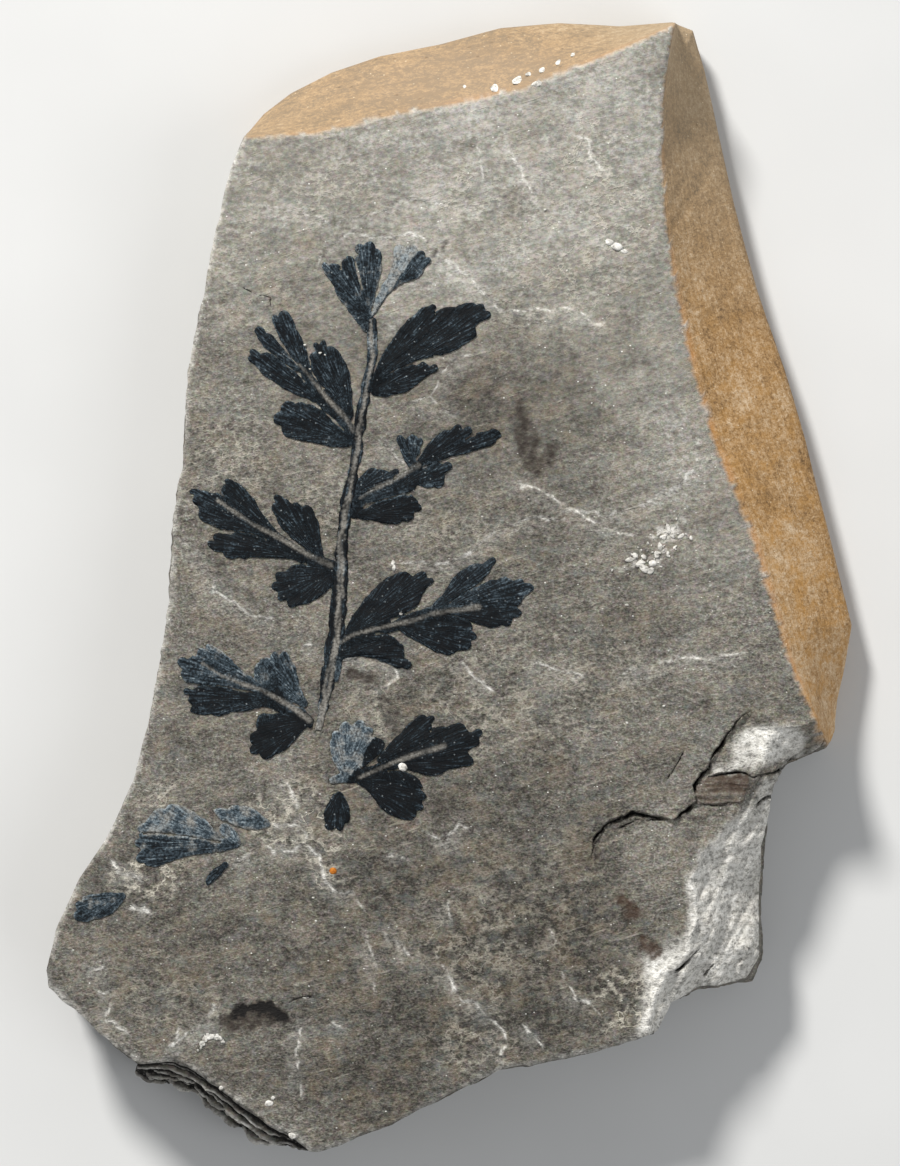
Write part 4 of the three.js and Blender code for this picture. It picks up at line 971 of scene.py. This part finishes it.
def make_drawn_streaks():
    """Noise drawn out along one direction of the place it is given."""
    tree, given, end = new_group(
        "drawn_streaks",
        [("Place", "NodeSocketVector", None), ("Stretch", "NodeSocketVector", (0.2, 2.0, 1.0)),
         ("Turn", "NodeSocketVector", (0, 0, 0)), ("Contrast", "NodeSocketFloat", 1.0)],
        ["Streak"])
    turned = put(tree, "ShaderNodeVectorRotate", {"Vector": given["Place"],
                                                  "Rotation": given["Turn"]},
                 rotation_type="EULER_XYZ").outputs[0]
    threads = cloud(tree, stretched(tree, turned, given["Stretch"]), 1.0, 4.0, 0.62)
    strong = times(tree, calc(tree, "SUBTRACT", threads, 0.5), given["Contrast"])
    tree.links.new(calc(tree, "ADD", strong, 0.5, clamp=True), end.inputs["Streak"])
    return tree


rock_grain = make_rock_grain()
drawn_streaks = make_drawn_streaks()


def grain_of(tree, place, grain_size, mottle_size, mica_share):
    return put(tree, "ShaderNodeGroup", {
        "Place": place, "Grain size": grain_size, "Mottle size": mottle_size,
        "Mica share": mica_share}, node_tree=rock_grain).outputs


def streaks_of(tree, place, stretch, contrast, turn=0.0):
    return put(tree, "ShaderNodeGroup", {
        "Place": place, "Stretch": stretch, "Turn": (0, 0, turn), "Contrast": contrast},
        node_tree=drawn_streaks).outputs[0]


def new_material(name):
    """A material, its tree, its shader, and the place on the piece in mm."""
    material = bpy.data.materials.new(name)
    material.use_nodes = True
    tree = material.node_tree
    tree.nodes.clear()
    shader = tree.nodes.new("ShaderNodeBsdfPrincipled")
    end = tree.nodes.new("ShaderNodeOutputMaterial")
    tree.links.new(shader.outputs[0], end.inputs[0])
    place = put(tree, "ShaderNodeTexCoord").outputs["Object"]
    return material, tree, shader, stretched(tree, place, (1000, 1000, 1000))


def finish(tree, shader, shade, rough, specular, relief, distance, strength):
    """Connects a finish's colour, roughness and relief to its shader."""
    tree.links.new(shade, shader.inputs["Base Color"])
    tree.links.new(rough, shader.inputs["Roughness"])
    shader.inputs["Specular IOR Level"].default_value = specular
    bump = put(tree, "ShaderNodeBump", {"Height": relief, "Distance": distance,
                                        "Strength": strength})
    tree.links.new(bump.outputs[0], shader.inputs["Normal"])


# ---- The stone's finish: grey rock, chalk and painted highlight, veins, soot, painted shade, then rust on the joint faces.

shale, tree, shader, place = new_material("iron_stained_shale")
combed = stretched(tree, place, (0.85, 1.15, 1.0))
grain = grain_of(tree, combed, 0.21, 6.0, 0.014)
sand = grain_of(tree, combed, 0.55, 2.2, 0.012)
lineation = streaks_of(tree, place, (0.16, 1.3, 0.5), 1.6, -0.32)
# On the broken sides the laminae show as bands.
layers = streaks_of(tree, place, (0.10, 0.10, 1.7), 2.4)
strata = mix(tree, mask_of(tree, "side"), (0.5, 0.5, 0.5, 1), layers)
tone = mask_of(tree, "tone")
coarse = mask_of(tree, "coarse")
level = add(tree, 0.40, tone)
for shade_of, fine_swing, coarse_swing in (
        (grain["Mottle"], 0.10, 0.10), (sand["Mottle"], 0.10, 0.11), (lineation, 0.08, 0.10),
        (grain["Grain"], 0.08, 0.29), (sand["Grain"], 0.15, 0.17), (strata, 0.16, 0.16)):
    swing = times(tree, fit(tree, shade_of, 0, 1, -1, 1),
                  fit(tree, coarse, 0, 1, fine_swing, coarse_swing))
    level = add(tree, level, swing)
stone = ramp(tree, level, [(0.0, colour(50, 47, 42)), (0.35, colour(103, 99, 91)),
                           (0.6, colour(140, 137, 128)), (1.0, colour(208, 205, 198))])
stone = mix(tree, fit(tree, sand["Mottle"], 0.45, 0.9, 0.0, 0.32), stone, colour(121, 104, 80))
cool = cloud(tree, combed, 0.55, 4.0, 0.7)
stone = mix(tree, fit(tree, cool, 0.52, 0.70, 0.0, 0.42), stone, colour(118, 122, 119))
wisps = streaks_of(tree, place, (0.22, 2.1, 0.5), 1.9, -0.30)
wisp = times(tree, fit(tree, wisps, 0.66, 0.95), fit(tree, sand["Mottle"], 0.3, 0.7, 0.1, 0.55))
stone = mix(tree, wisp, stone, colour(190, 184, 170))
stone = mix(tree, 0.30, stone, cloud(tree, place, 2.6, 3.0, 0.7, "Color"), "SOFT_LIGHT")
stone = mix(tree, grain["Mica"], stone, colour(244, 243, 236))
stone = mix(tree, times(tree, grain["Pits"], 0.45), stone, colour(60, 55, 48))

fresh_level = add(tree, fit(tree, grain["Grain"], 0, 1, 0.0, 0.55),
                  fit(tree, sand["Grain"], 0, 1, 0.0, 0.55))
chalk = ramp(tree, fresh_level, [(0.12, colour(132, 131, 127)), (0.5, colour(224, 221, 213)),
                                 (0.85, colour(253, 251, 245))])
# Pale rock: chalk, chipped edges and mineral chips, with painted highlight on the spall's ridge,
# the sheets' edges and the lamina step edges.
stone = mix(tree, times(tree, mask_of(tree, "pale"),
                        fit(tree, sand["Grain"], 0.1, 0.6, 0.6, 1.0)), stone, chalk)
# Thin pale veins wander through the crazed patches.
wander = cloud(tree, place, 0.42, 3.5, 0.55)
off_vein = calc(tree, "ABSOLUTE", calc(tree, "SUBTRACT", wander, 0.5))
crust = times(tree, fit(tree, cool, 0.60, 0.50), fit(tree, sand["Grain"], 0.35, 0.75, 0.0, 0.75))
crust = times(tree, crust, fit(tree, off_vein, 0.10, 0.03))
thread = times(tree, fit(tree, off_vein, 0.022, 0.006),
               fit(tree, sand["Mottle"], 0.25, 0.5, 0.15, 1.0))
vein = times(tree, calc(tree, "MAXIMUM", thread, crust), mask_of(tree, "crazed"))
stone = mix(tree, times(tree, vein, 0.75), stone, colour(214, 208, 192))
stone = mix(tree, times(tree, mask_of(tree, "soot"),
                        fit(tree, sand["Grain"], 0.2, 0.8, 1.0, 0.72)), stone, colour(50, 43, 38))
# Painted shade: the rock turns near-black where the shade mask is strong.
painted_shade_amount = add(tree, mask_of(tree, "gloom"), fit(tree, grain["Grain"], 0, 1, -0.28, 0.28))
painted_shade_amount = times(tree, fit(tree, painted_shade_amount, 0.22, 0.76), 0.98)
stone = mix(tree, painted_shade_amount, stone, colour(20, 18, 17))
ochre = mix(tree, grain["Grain"], colour(206, 132, 48), colour(160, 84, 22))
stone = mix(tree, mask_of(tree, "ochre"), stone, ochre)

# Iron stain on the joint faces, in streaks along them, with darker specks.
run = mask_of(tree, "run", "Vector")
bands = streaks_of(tree, run, (0.16, 1.9, 1.0), 1.7)
bleached = fit(tree, tone, 0.20, 0.31)
up_face = put(tree, "ShaderNodeSeparateXYZ", {0: place}).outputs[1]
down_side = put(tree, "ShaderNodeSeparateXYZ", {0: run}).outputs[1]
rust_level = add(tree, fit(tree, bands, 0, 1, 0.22, 0.60), times(tree, bleached, -0.38),
                 fit(tree, up_face, 12, -10, 0.0, 0.22))
for shade_of, low, high in ((grain["Mottle"], -0.10, 0.22), (sand["Mottle"], -0.13, 0.13),
                            (grain["Grain"], -0.30, 0.28), (sand["Grain"], -0.24, 0.24)):
    rust_level = add(tree, rust_level, fit(tree, shade_of, 0, 1, low, high))
rust = ramp(tree, rust_level, [(0.0, colour(104, 80, 52)), (0.45, colour(168, 133, 90)),
                               (1.0, colour(214, 191, 160))])
ruddy = times(tree, fit(tree, cool, 0.44, 0.64, 0.05, 0.5), fit(tree, up_face, 40, 0, 0.3, 1.2))
lip_stain = times(tree, fit(tree, down_side, 1.1, 0.2),
                  fit(tree, grain["Mottle"], 0.4, 0.7, 0.1, 0.4))
dusty = times(tree, fit(tree, up_face, 24, 48), fit(tree, bleached, 1, 0))
for amount, tint in ((ruddy, colour(181, 133, 66)), (lip_stain, colour(176, 120, 72)),
                     (times(tree, bleached, 0.40), colour(184, 168, 146)),
                     (times(tree, dusty, 0.5), colour(158, 148, 128)),
                     (times(tree, sand["Pits"], 0.45), colour(86, 66, 46)),
                     (grain["Mica"], colour(240, 222, 190))):
    rust = mix(tree, amount, rust, tint)

rough = add(tree, fit(tree, grain["Grain"], 0, 1, 0.74, 0.95), times(tree, grain["Mica"], -0.4))
relief = add(tree, times(tree, grain["Grain"], fit(tree, coarse, 0, 1, 0.05, 0.6)),
             times(tree, sand["Grain"], fit(tree, coarse, 0, 1, 0.6, 0.85)),
             times(tree, lineation, 0.4), times(tree, vein, 0.8), times(tree, wisp, 1.2),
             times(tree, strata, 0.8))
relief = times(tree, relief, fit(tree, mask_of(tree, "rind"), 0, 1, 1.0, 0.4))
finish(tree, shader, mix(tree, mask_of(tree, "rind"), stone, rust), rough, 0.3,
       relief, 0.00012, 1.0)
plate.data.materials.append(shale)
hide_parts("shale_plate")

# ==========================================================================================
# The frond's stem and leaves.  Each was pressed flat and turned to a black coaly film, some
# hundredths of a millimetre thick, that lies in its print in the bedding face.  Veins run out
# from the foot of every leaflet, and where the film has worn thin the grey rock shows.

FILM_SPACING = 0.2
FILM_TOP = 0.11
FILM_FOOT = -0.10
# For every leaflet: foot, tip, and how worn its film is.
LEAFLETS = {
    "tip_leaf": [(-7.9, 26.8, -12.6, 32.4, .35), (-7.9, 26.8, -10.4, 33.0, .3),
                 (-7.9, 26.8, -8.2, 34.3, .4), (-7.9, 26.8, -4.4, 33.8, .95),
                 (-7.6, 26.8, -1.9, 32.9, .35)],
    "left_leaf_1": [(-14.1, 20.8, -16.9, 27.3, .25), (-14.7, 21.6, -19.7, 25.5, .25),
                    (-12.9, 18.6, -20.0, 23.2, .2), (-9.9, 17.2, -13.1, 24.4, .2),
                    (-9.7, 14.6, -17.1, 17.4, .2)],
    "right_leaf_1": [(-7.2, 21.5, -1.3, 28.0, .1), (-7.2, 20.7, 3.7, 27.6, .15),
                     (-7.7, 19.3, -1.2, 22.0, .1)],
    "left_leaf_2": [(-18.0, 5.2, -25.9, 9.2, .15), (-17.3, 5.1, -22.4, 10.6, .12),
                    (-14.7, 2.9, -23.9, 4.4, .1), (-12.8, 2.6, -17.0, 9.1, .12),
                    (-12.8, 2.6, -13.9, 8.1, .05), (-11.4, 1.6, -17.5, 0.1, .12)],
    "right_leaf_2": [(-3.5, 11.8, -4.0, 14.9, .3), (-3.2, 12.2, 1.9, 15.9, .15),
                     (-3.0, 12.0, 5.5, 15.2, .15), (-5.5, 9.5, 0.0, 12.2, .2),
                     (-8.8, 8.5, -2.9, 10.0, .3), (-9.5, 9.3, -5.0, 11.4, .25),
                     (-9.4, 7.0, -2.9, 8.4, .0)],
    "left_leaf_3": [(-18.4, -10.2, -26.9, -8.2, .4), (-18.4, -10.2, -24.2, -6.1, .5),
                    (-17.9, -11.2, -26.4, -10.9, .15), (-17.9, -11.2, -24.4, -13.0, .2),
                    (-14.4, -11.9, -16.9, -6.7, .45), (-13.9, -13.4, -19.2, -16.9, .0)],
    "right_leaf_3": [(-10.3, -4.9, -1.8, 0.9, .1), (-1.9, -2.5, 4.4, 2.7, .25),
                     (-0.9, -2.5, 7.4, 0.8, .3), (-0.9, -2.5, 8.4, -0.4, .3),
                     (-0.9, -2.5, 6.9, -2.9, .1), (-5.3, -3.9, 2.7, -5.0, .1),
                     (-11.4, -6.9, -4.0, -8.3, .1), (-11.2, -7.0, -11.7, -10.2, .4)],
    "left_leaf_4": [(-22.4, -25.4, -30.3, -23.3, .72), (-21.1, -26.0, -31.0, -26.4, .42),
                    (-21.0, -25.9, -23.2, -23.8, .68)],
    "right_leaf_4": [(-7.2, -17.5, -1.7, -13.1, .03), (-6.2, -17.9, 3.3, -14.9, .05),
                     (-6.2, -17.9, 2.1, -17.8, .0), (-9.5, -19.4, -3.3, -22.8, .0),
                     (-10.4, -18.9, -9.4, -13.7, .7)],
    "left_leaf_5": [(-32.4, -30.8, -37.4, -32.9, .45)],
    "right_leaf_5": [(-11.0, -20.6, -11.5, -24.5, .1)],
    "leaf_scrap": [(-18.0, -23.9, -23.9, -22.5, .65)],
    "stem_scrap": [(-22.1, -27.6, -24.3, -30.2, .2)],
}
# Midribs, where the film has split along the rib and rock fills it.
RIBS = {
    "left_leaf_1": [[-15.1, 22.2], [-14.1, 21.2], [-12.9, 19.6], [-11.7, 18.2], [-10.3, 16.8],
                    [-9.5, 15.6]],
    "right_leaf_2": [[-8.9, 8.8], [-7.7, 9.6], [-5.7, 10.5], [-3.9, 11.6], [-3.1, 12.1]],
    "left_leaf_2": [[-23.2, 8.6], [-21.7, 7.6], [-19.7, 6.2], [-17.4, 5.1], [-15.4, 3.9],
                    [-13.7, 2.9], [-11.9, 2.1]],
    "right_leaf_3": [[-10.9, -5.7], [-9.7, -4.9], [-7.9, -4.4], [-6.2, -4.0], [-4.9, -3.7],
                     [-3.4, -3.4], [-1.9, -2.8], [0.1, -2.5], [2.9, -2.1]],
    "left_leaf_3": [[-24.7, -7.7], [-22.9, -8.9], [-20.9, -9.7], [-18.7, -10.4],
                    [-16.9, -11.4], [-15.4, -12.3], [-13.9, -13.4]],
    "right_leaf_4": [[-9.0, -19.2], [-7.0, -18.3], [-5.5, -17.6], [-3.5, -16.9], [-0.5, -16.0]],
}
RIB_WIDTH = 0.26
TOOTH_WIDTH = 1.0
TOOTH_LENGTH = 0.50
OUTLINE_GROW = 0.14
STEM_LINE = [
    [-7.7, 26.8], [-7.7, 24.4], [-7.7, 22.6], [-8.1, 20.8], [-8.4, 19.0], [-8.7, 17.2],
    [-9.0, 15.2], [-9.6, 11.2], [-10.3, 7.6], [-10.7, 4.6], [-10.8, 1.6], [-11.0, -0.9],
    [-11.2, -3.4], [-11.6, -5.9], [-12.4, -10.9], [-13.1, -14.9],
]
STEM_LENGTH = 42

carbon, tree, shader, place = new_material("coaly_film")
veins = streaks_of(tree, mask_of(tree, "flow", "Vector"), (0.50, 5.0, 1.0), 2.6)
crackle = grain_of(tree, place, 0.24, 1.4, 0.05)
wear = mask_of(tree, "worn")
# Painted sheen: the veins and the crackle are painted as pale blue-grey streaks on the black film;
# where the film is worn thin it is paler for real.
painted_vein_sheen = times(tree, fit(tree, veins, 0.3, 1, -0.20, 0.42), fit(tree, wear, 0, 1, 1.0, 0.45))
painted_sheen_and_wear = add(tree, painted_vein_sheen, fit(tree, crackle["Grain"], 0, 1, -0.20, 0.40),
            fit(tree, crackle["Mottle"], 0, 1, -0.14, 0.18), fit(tree, wear, 0, 1, -0.09, 0.74))
black = ramp(tree, painted_sheen_and_wear, [(0.0, colour(9, 12, 15)), (0.26, colour(19, 27, 32)),
                           (0.58, colour(63, 75, 83)), (1.0, colour(150, 162, 168))])
black = mix(tree, times(tree, crackle["Mica"], 0.6), black, colour(168, 176, 178))
thin = add(tree, times(tree, wear, 0.8), fit(tree, crackle["Mottle"], 0, 1, -0.45, 0.35))
rock_show = ramp(tree, crackle["Grain"], [(0.1, colour(78, 75, 69)), (0.9, colour(158, 154, 146))])
black = mix(tree, times(tree, fit(tree, thin, 0.45, 0.85), 0.85), black, rock_show)
black = mix(tree, mask_of(tree, "rib"), black, rock_show)
finish(tree, shader, black, fit(tree, crackle["Grain"], 0, 1, 0.5, 0.8), 0.14,
       add(tree, times(tree, veins, 0.8), times(tree, crackle["Grain"], 0.5)), 0.00006, 0.8)


def film_piece(node, seed, finish_masks, teeth):
    """A thin closed film over the print of one frame node, domed between its margins."""
    loop = leaf_loops[node]
    ring = dense(loop, 0.13, closed=True)
    for _ in range(3):
        ring = 0.5 * ring + 0.25 * (np.roll(ring, 1, 0) + np.roll(ring, -1, 0))
    slant = np.roll(ring, -1, 0) - np.roll(ring, 1, 0)
    slant /= np.linalg.norm(slant, axis=1)[:, None] + 1e-9
    outward = np.stack([slant[:, 1], -slant[:, 0]], 1)
    jag = 0.08 * noise(ring, 0.6, seed, 3) + teeth(ring)
    ring = ring + outward * (jag + OUTLINE_GROW)[:, None]
    points = hex_grid(loop.min(0), loop.max(0), FILM_SPACING, seed)
    points = points[depth_in(points, ring) > 0.1]
    flat, tris = triangles_inside(ring, points, lambda c: inside(c, ring))
    used = np.unique(tris)
    where = np.full(len(flat), -1)
    where[used] = np.arange(len(used))
    flat, tris = flat[used], where[tris]
    depth = np.abs(depth_in(flat, ring))
    masks, lift = finish_masks(flat, depth)
    ground = face_height(flat)[0]
    crown = smooth(0, 0.22, depth)
    top = ground + PRINT_DEPTH + FILM_TOP * (0.35 + 0.65 * crown) * lift
    top += 0.02 * noise(flat, 0.7, seed + 1, 2) * crown
    count = len(flat)
    edges = open_edges(tris.tolist())
    rim = [(b, a, a + count) for a, b in edges] + [(b, a + count, b + count) for a, b in edges]
    spots = np.vstack([np.column_stack([flat, top]), np.column_stack([flat, ground + FILM_FOOT])])
    faces = np.vstack([tris, tris[:, ::-1] + count, np.array(rim)])
    twice = {name: np.concatenate([values, values]) for name, values in masks.items()}
    piece = build(node + "_film", spots, faces, twice)
    piece.data.materials.append(carbon)
    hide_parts(node)


def along_leaflets(node, flat):
    """For every point the distance from its leaflet's foot and across its veins, the share of
    the leaflet's length passed, and how worn the leaflet is."""
    best = np.full(len(flat), 1e9)
    flow = np.zeros((len(flat), 3))
    passed, worn = np.zeros((2, len(flat)))
    for number, (foot_x, foot_y, tip_x, tip_y, wear) in enumerate(LEAFLETS[node]):
        foot, tip = np.array([foot_x, foot_y]), np.array([tip_x, tip_y])
        gap, share = from_line(flat, [foot, tip])
        score = np.abs(gap) - 0.3 * share
        run, arm = tip - foot, flat - foot
        swing = np.arctan2(run[0] * arm[:, 1] - run[1] * arm[:, 0], arm @ run)
        here = score < best
        best = np.where(here, score, best)
        length = np.linalg.norm(run)
        radius = np.linalg.norm(arm, axis=1)
        spread = np.column_stack([radius, swing * length * 0.75, np.full(len(flat), number * 7.0)])
        flow[here] = spread[here]
        passed = np.where(here, radius / length, passed)
        worn = np.where(here, wear, worn)
    return flow, passed, worn


def leaf_teeth(node):
    """The scalloped ends of a leaf's leaflets, as steps out from its outline."""
    def teeth(ring):
        flow, passed, _ = along_leaflets(node, ring)
        phase = flow[:, 1] / TOOTH_WIDTH + 0.35 * noise(ring, 2.0, 47, 1)
        scallop = np.abs(np.sin(phase * math.pi))
        return TOOTH_LENGTH * (scallop - 0.75) * smooth(0.62, 0.92, passed)
    return teeth


def leaf_masks(node):
    """Veins, wear and bare midrib of a leaf, and how far its film is lifted."""
    def masks(flat, depth):
        flow, _, worn = along_leaflets(node, flat)
        rib = np.zeros(len(flat))
        if node in RIBS:
            gap, share = from_line(flat, RIBS[node])
            width = RIB_WIDTH * (0.7 + 0.8 * share) + 0.06 * noise(flat, 0.8, 31, 2)
            rib = smooth(width, width * 0.35, np.abs(gap)) * (0.65 + 0.35 * noise(flat, 1, 32, 2))
        worn = np.clip(worn + 0.25 * smooth(0.25, 0.0, depth), 0, 1)
        return {"flow": flow, "worn": worn, "rib": np.clip(rib, 0, 1)}, 1 - 0.7 * rib
    return masks


def stem_masks(flat, depth):
    """The stem's film has split along its middle, which wanders from side to side."""
    gap, share = from_line(flat, STEM_LINE)
    half = 0.36 + 0.36 * share
    middle = np.interp(share, [0, 0.3, 0.45, 0.56, 0.64, 0.8, 1],
                       [0.06, -0.05, 0.05, 0.24, 0, -0.24, -0.1])
    middle += 0.10 * noise(flat, [3.0, 1.6], 49, 2)
    rib = smooth(0.60, 0.36, np.abs(gap + middle) / half + 0.30 * noise(flat, 0.8, 33, 3))
    along = np.column_stack([share * STEM_LENGTH, gap])
    rib = rib * np.clip(0.75 + 0.8 * noise(along, [2.0, 0.22], 48, 2), 0.1, 1)
    rib = np.maximum(rib, smooth(0.955, 0.99, share + 0.02 * noise(flat, 0.5, 35, 2)))
    fade = 0.6 * smooth(0.90, 1.0, share) + 0.35 * smooth(0.3, 0.05, share)
    fade += 0.35 * noise(flat, 1.6, 34, 3)
    return {"flow": np.column_stack([along, np.zeros(len(flat))]),
            "worn": np.clip(0.1 + fade, 0, 1), "rib": rib * 0.9}, 0.5 - 0.3 * rib


def stem_edge(ring):
    """The stem's margins wave, and draw in where it fades out."""
    _, share = from_line(ring, STEM_LINE)
    return 0.16 * noise(ring, 1.5, 36, 3) - 0.06 - 0.62 * smooth(0.84, 1.0, share)


film_piece("main_stem", 40, stem_masks, stem_edge)
for number, node in enumerate(LEAFLETS):
    film_piece(node, 50 + number, leaf_masks(node), leaf_teeth(node))

# ==========================================================================================
# The floor the plate is lying on, the lights above it and the camera looking straight down.

floor_mesh = bpy.data.meshes.new("studio_floor")
floor_mesh.from_pydata([(-2, -2, 0), (2, -2, 0), (2, 2, 0), (-2, 2, 0)], [], [(0, 1, 2, 3)])
floor = bpy.data.objects.new("studio_floor", floor_mesh)
bpy.context.scene.collection.objects.link(floor)
paper, tree, shader, place = new_material("pale_paper")
paper_shade = mix(tree, cloud(tree, place, 0.05, 2.0, 0.5),
                  (0.60, 0.60, 0.59, 1), (0.66, 0.66, 0.65, 1))
tree.links.new(paper_shade, shader.inputs["Base Color"])
shader.inputs["Roughness"].default_value = 0.9
floor_mesh.materials.append(paper)


def softbox(name, place, size, power, warmth):
    """A round soft light that faces the plate."""
    lamp = bpy.data.lights.new(name, "AREA")
    lamp.shape = "DISK"
    lamp.size = size
    lamp.energy = power
    lamp.color = warmth
    box = bpy.data.objects.new(name, lamp)
    box.location = place
    box.rotation_mode = "QUATERNION"
    box.rotation_quaternion = (-Vector(place)).to_track_quat("-Z", "Y")
    bpy.context.scene.collection.objects.link(box)


softbox("key_softbox", (-0.35, 0.68, 0.66), 0.18, 13.0, (1.0, 0.985, 0.96))
softbox("fill_softbox", (0.6, -0.3, 0.8), 0.7, 2.6, (0.95, 0.97, 1.0))
world = bpy.data.worlds.new("soft_room")
world.use_nodes = True
world.node_tree.nodes["Background"].inputs[0].default_value = (0.95, 0.97, 1.0, 1)
world.node_tree.nodes["Background"].inputs[1].default_value = 0.34
bpy.context.scene.world = world
bpy.context.scene.view_settings.view_transform = "Standard"

CAMERA_LENS = 150.0
SENSOR_SIDE = 36.0
VIEW_HEIGHT = 116.6
camera_data = bpy.data.cameras.new("overhead_camera")
camera_data.lens = CAMERA_LENS
camera = bpy.data.objects.new("overhead_camera", camera_data)
camera_height = VIEW_HEIGHT / SENSOR_SIDE * CAMERA_LENS + PLATE_TOP
camera.location = (0.1 * MM, 0.3 * MM, camera_height * MM)
bpy.context.scene.collection.objects.link(camera)
bpy.context.scene.camera = camera
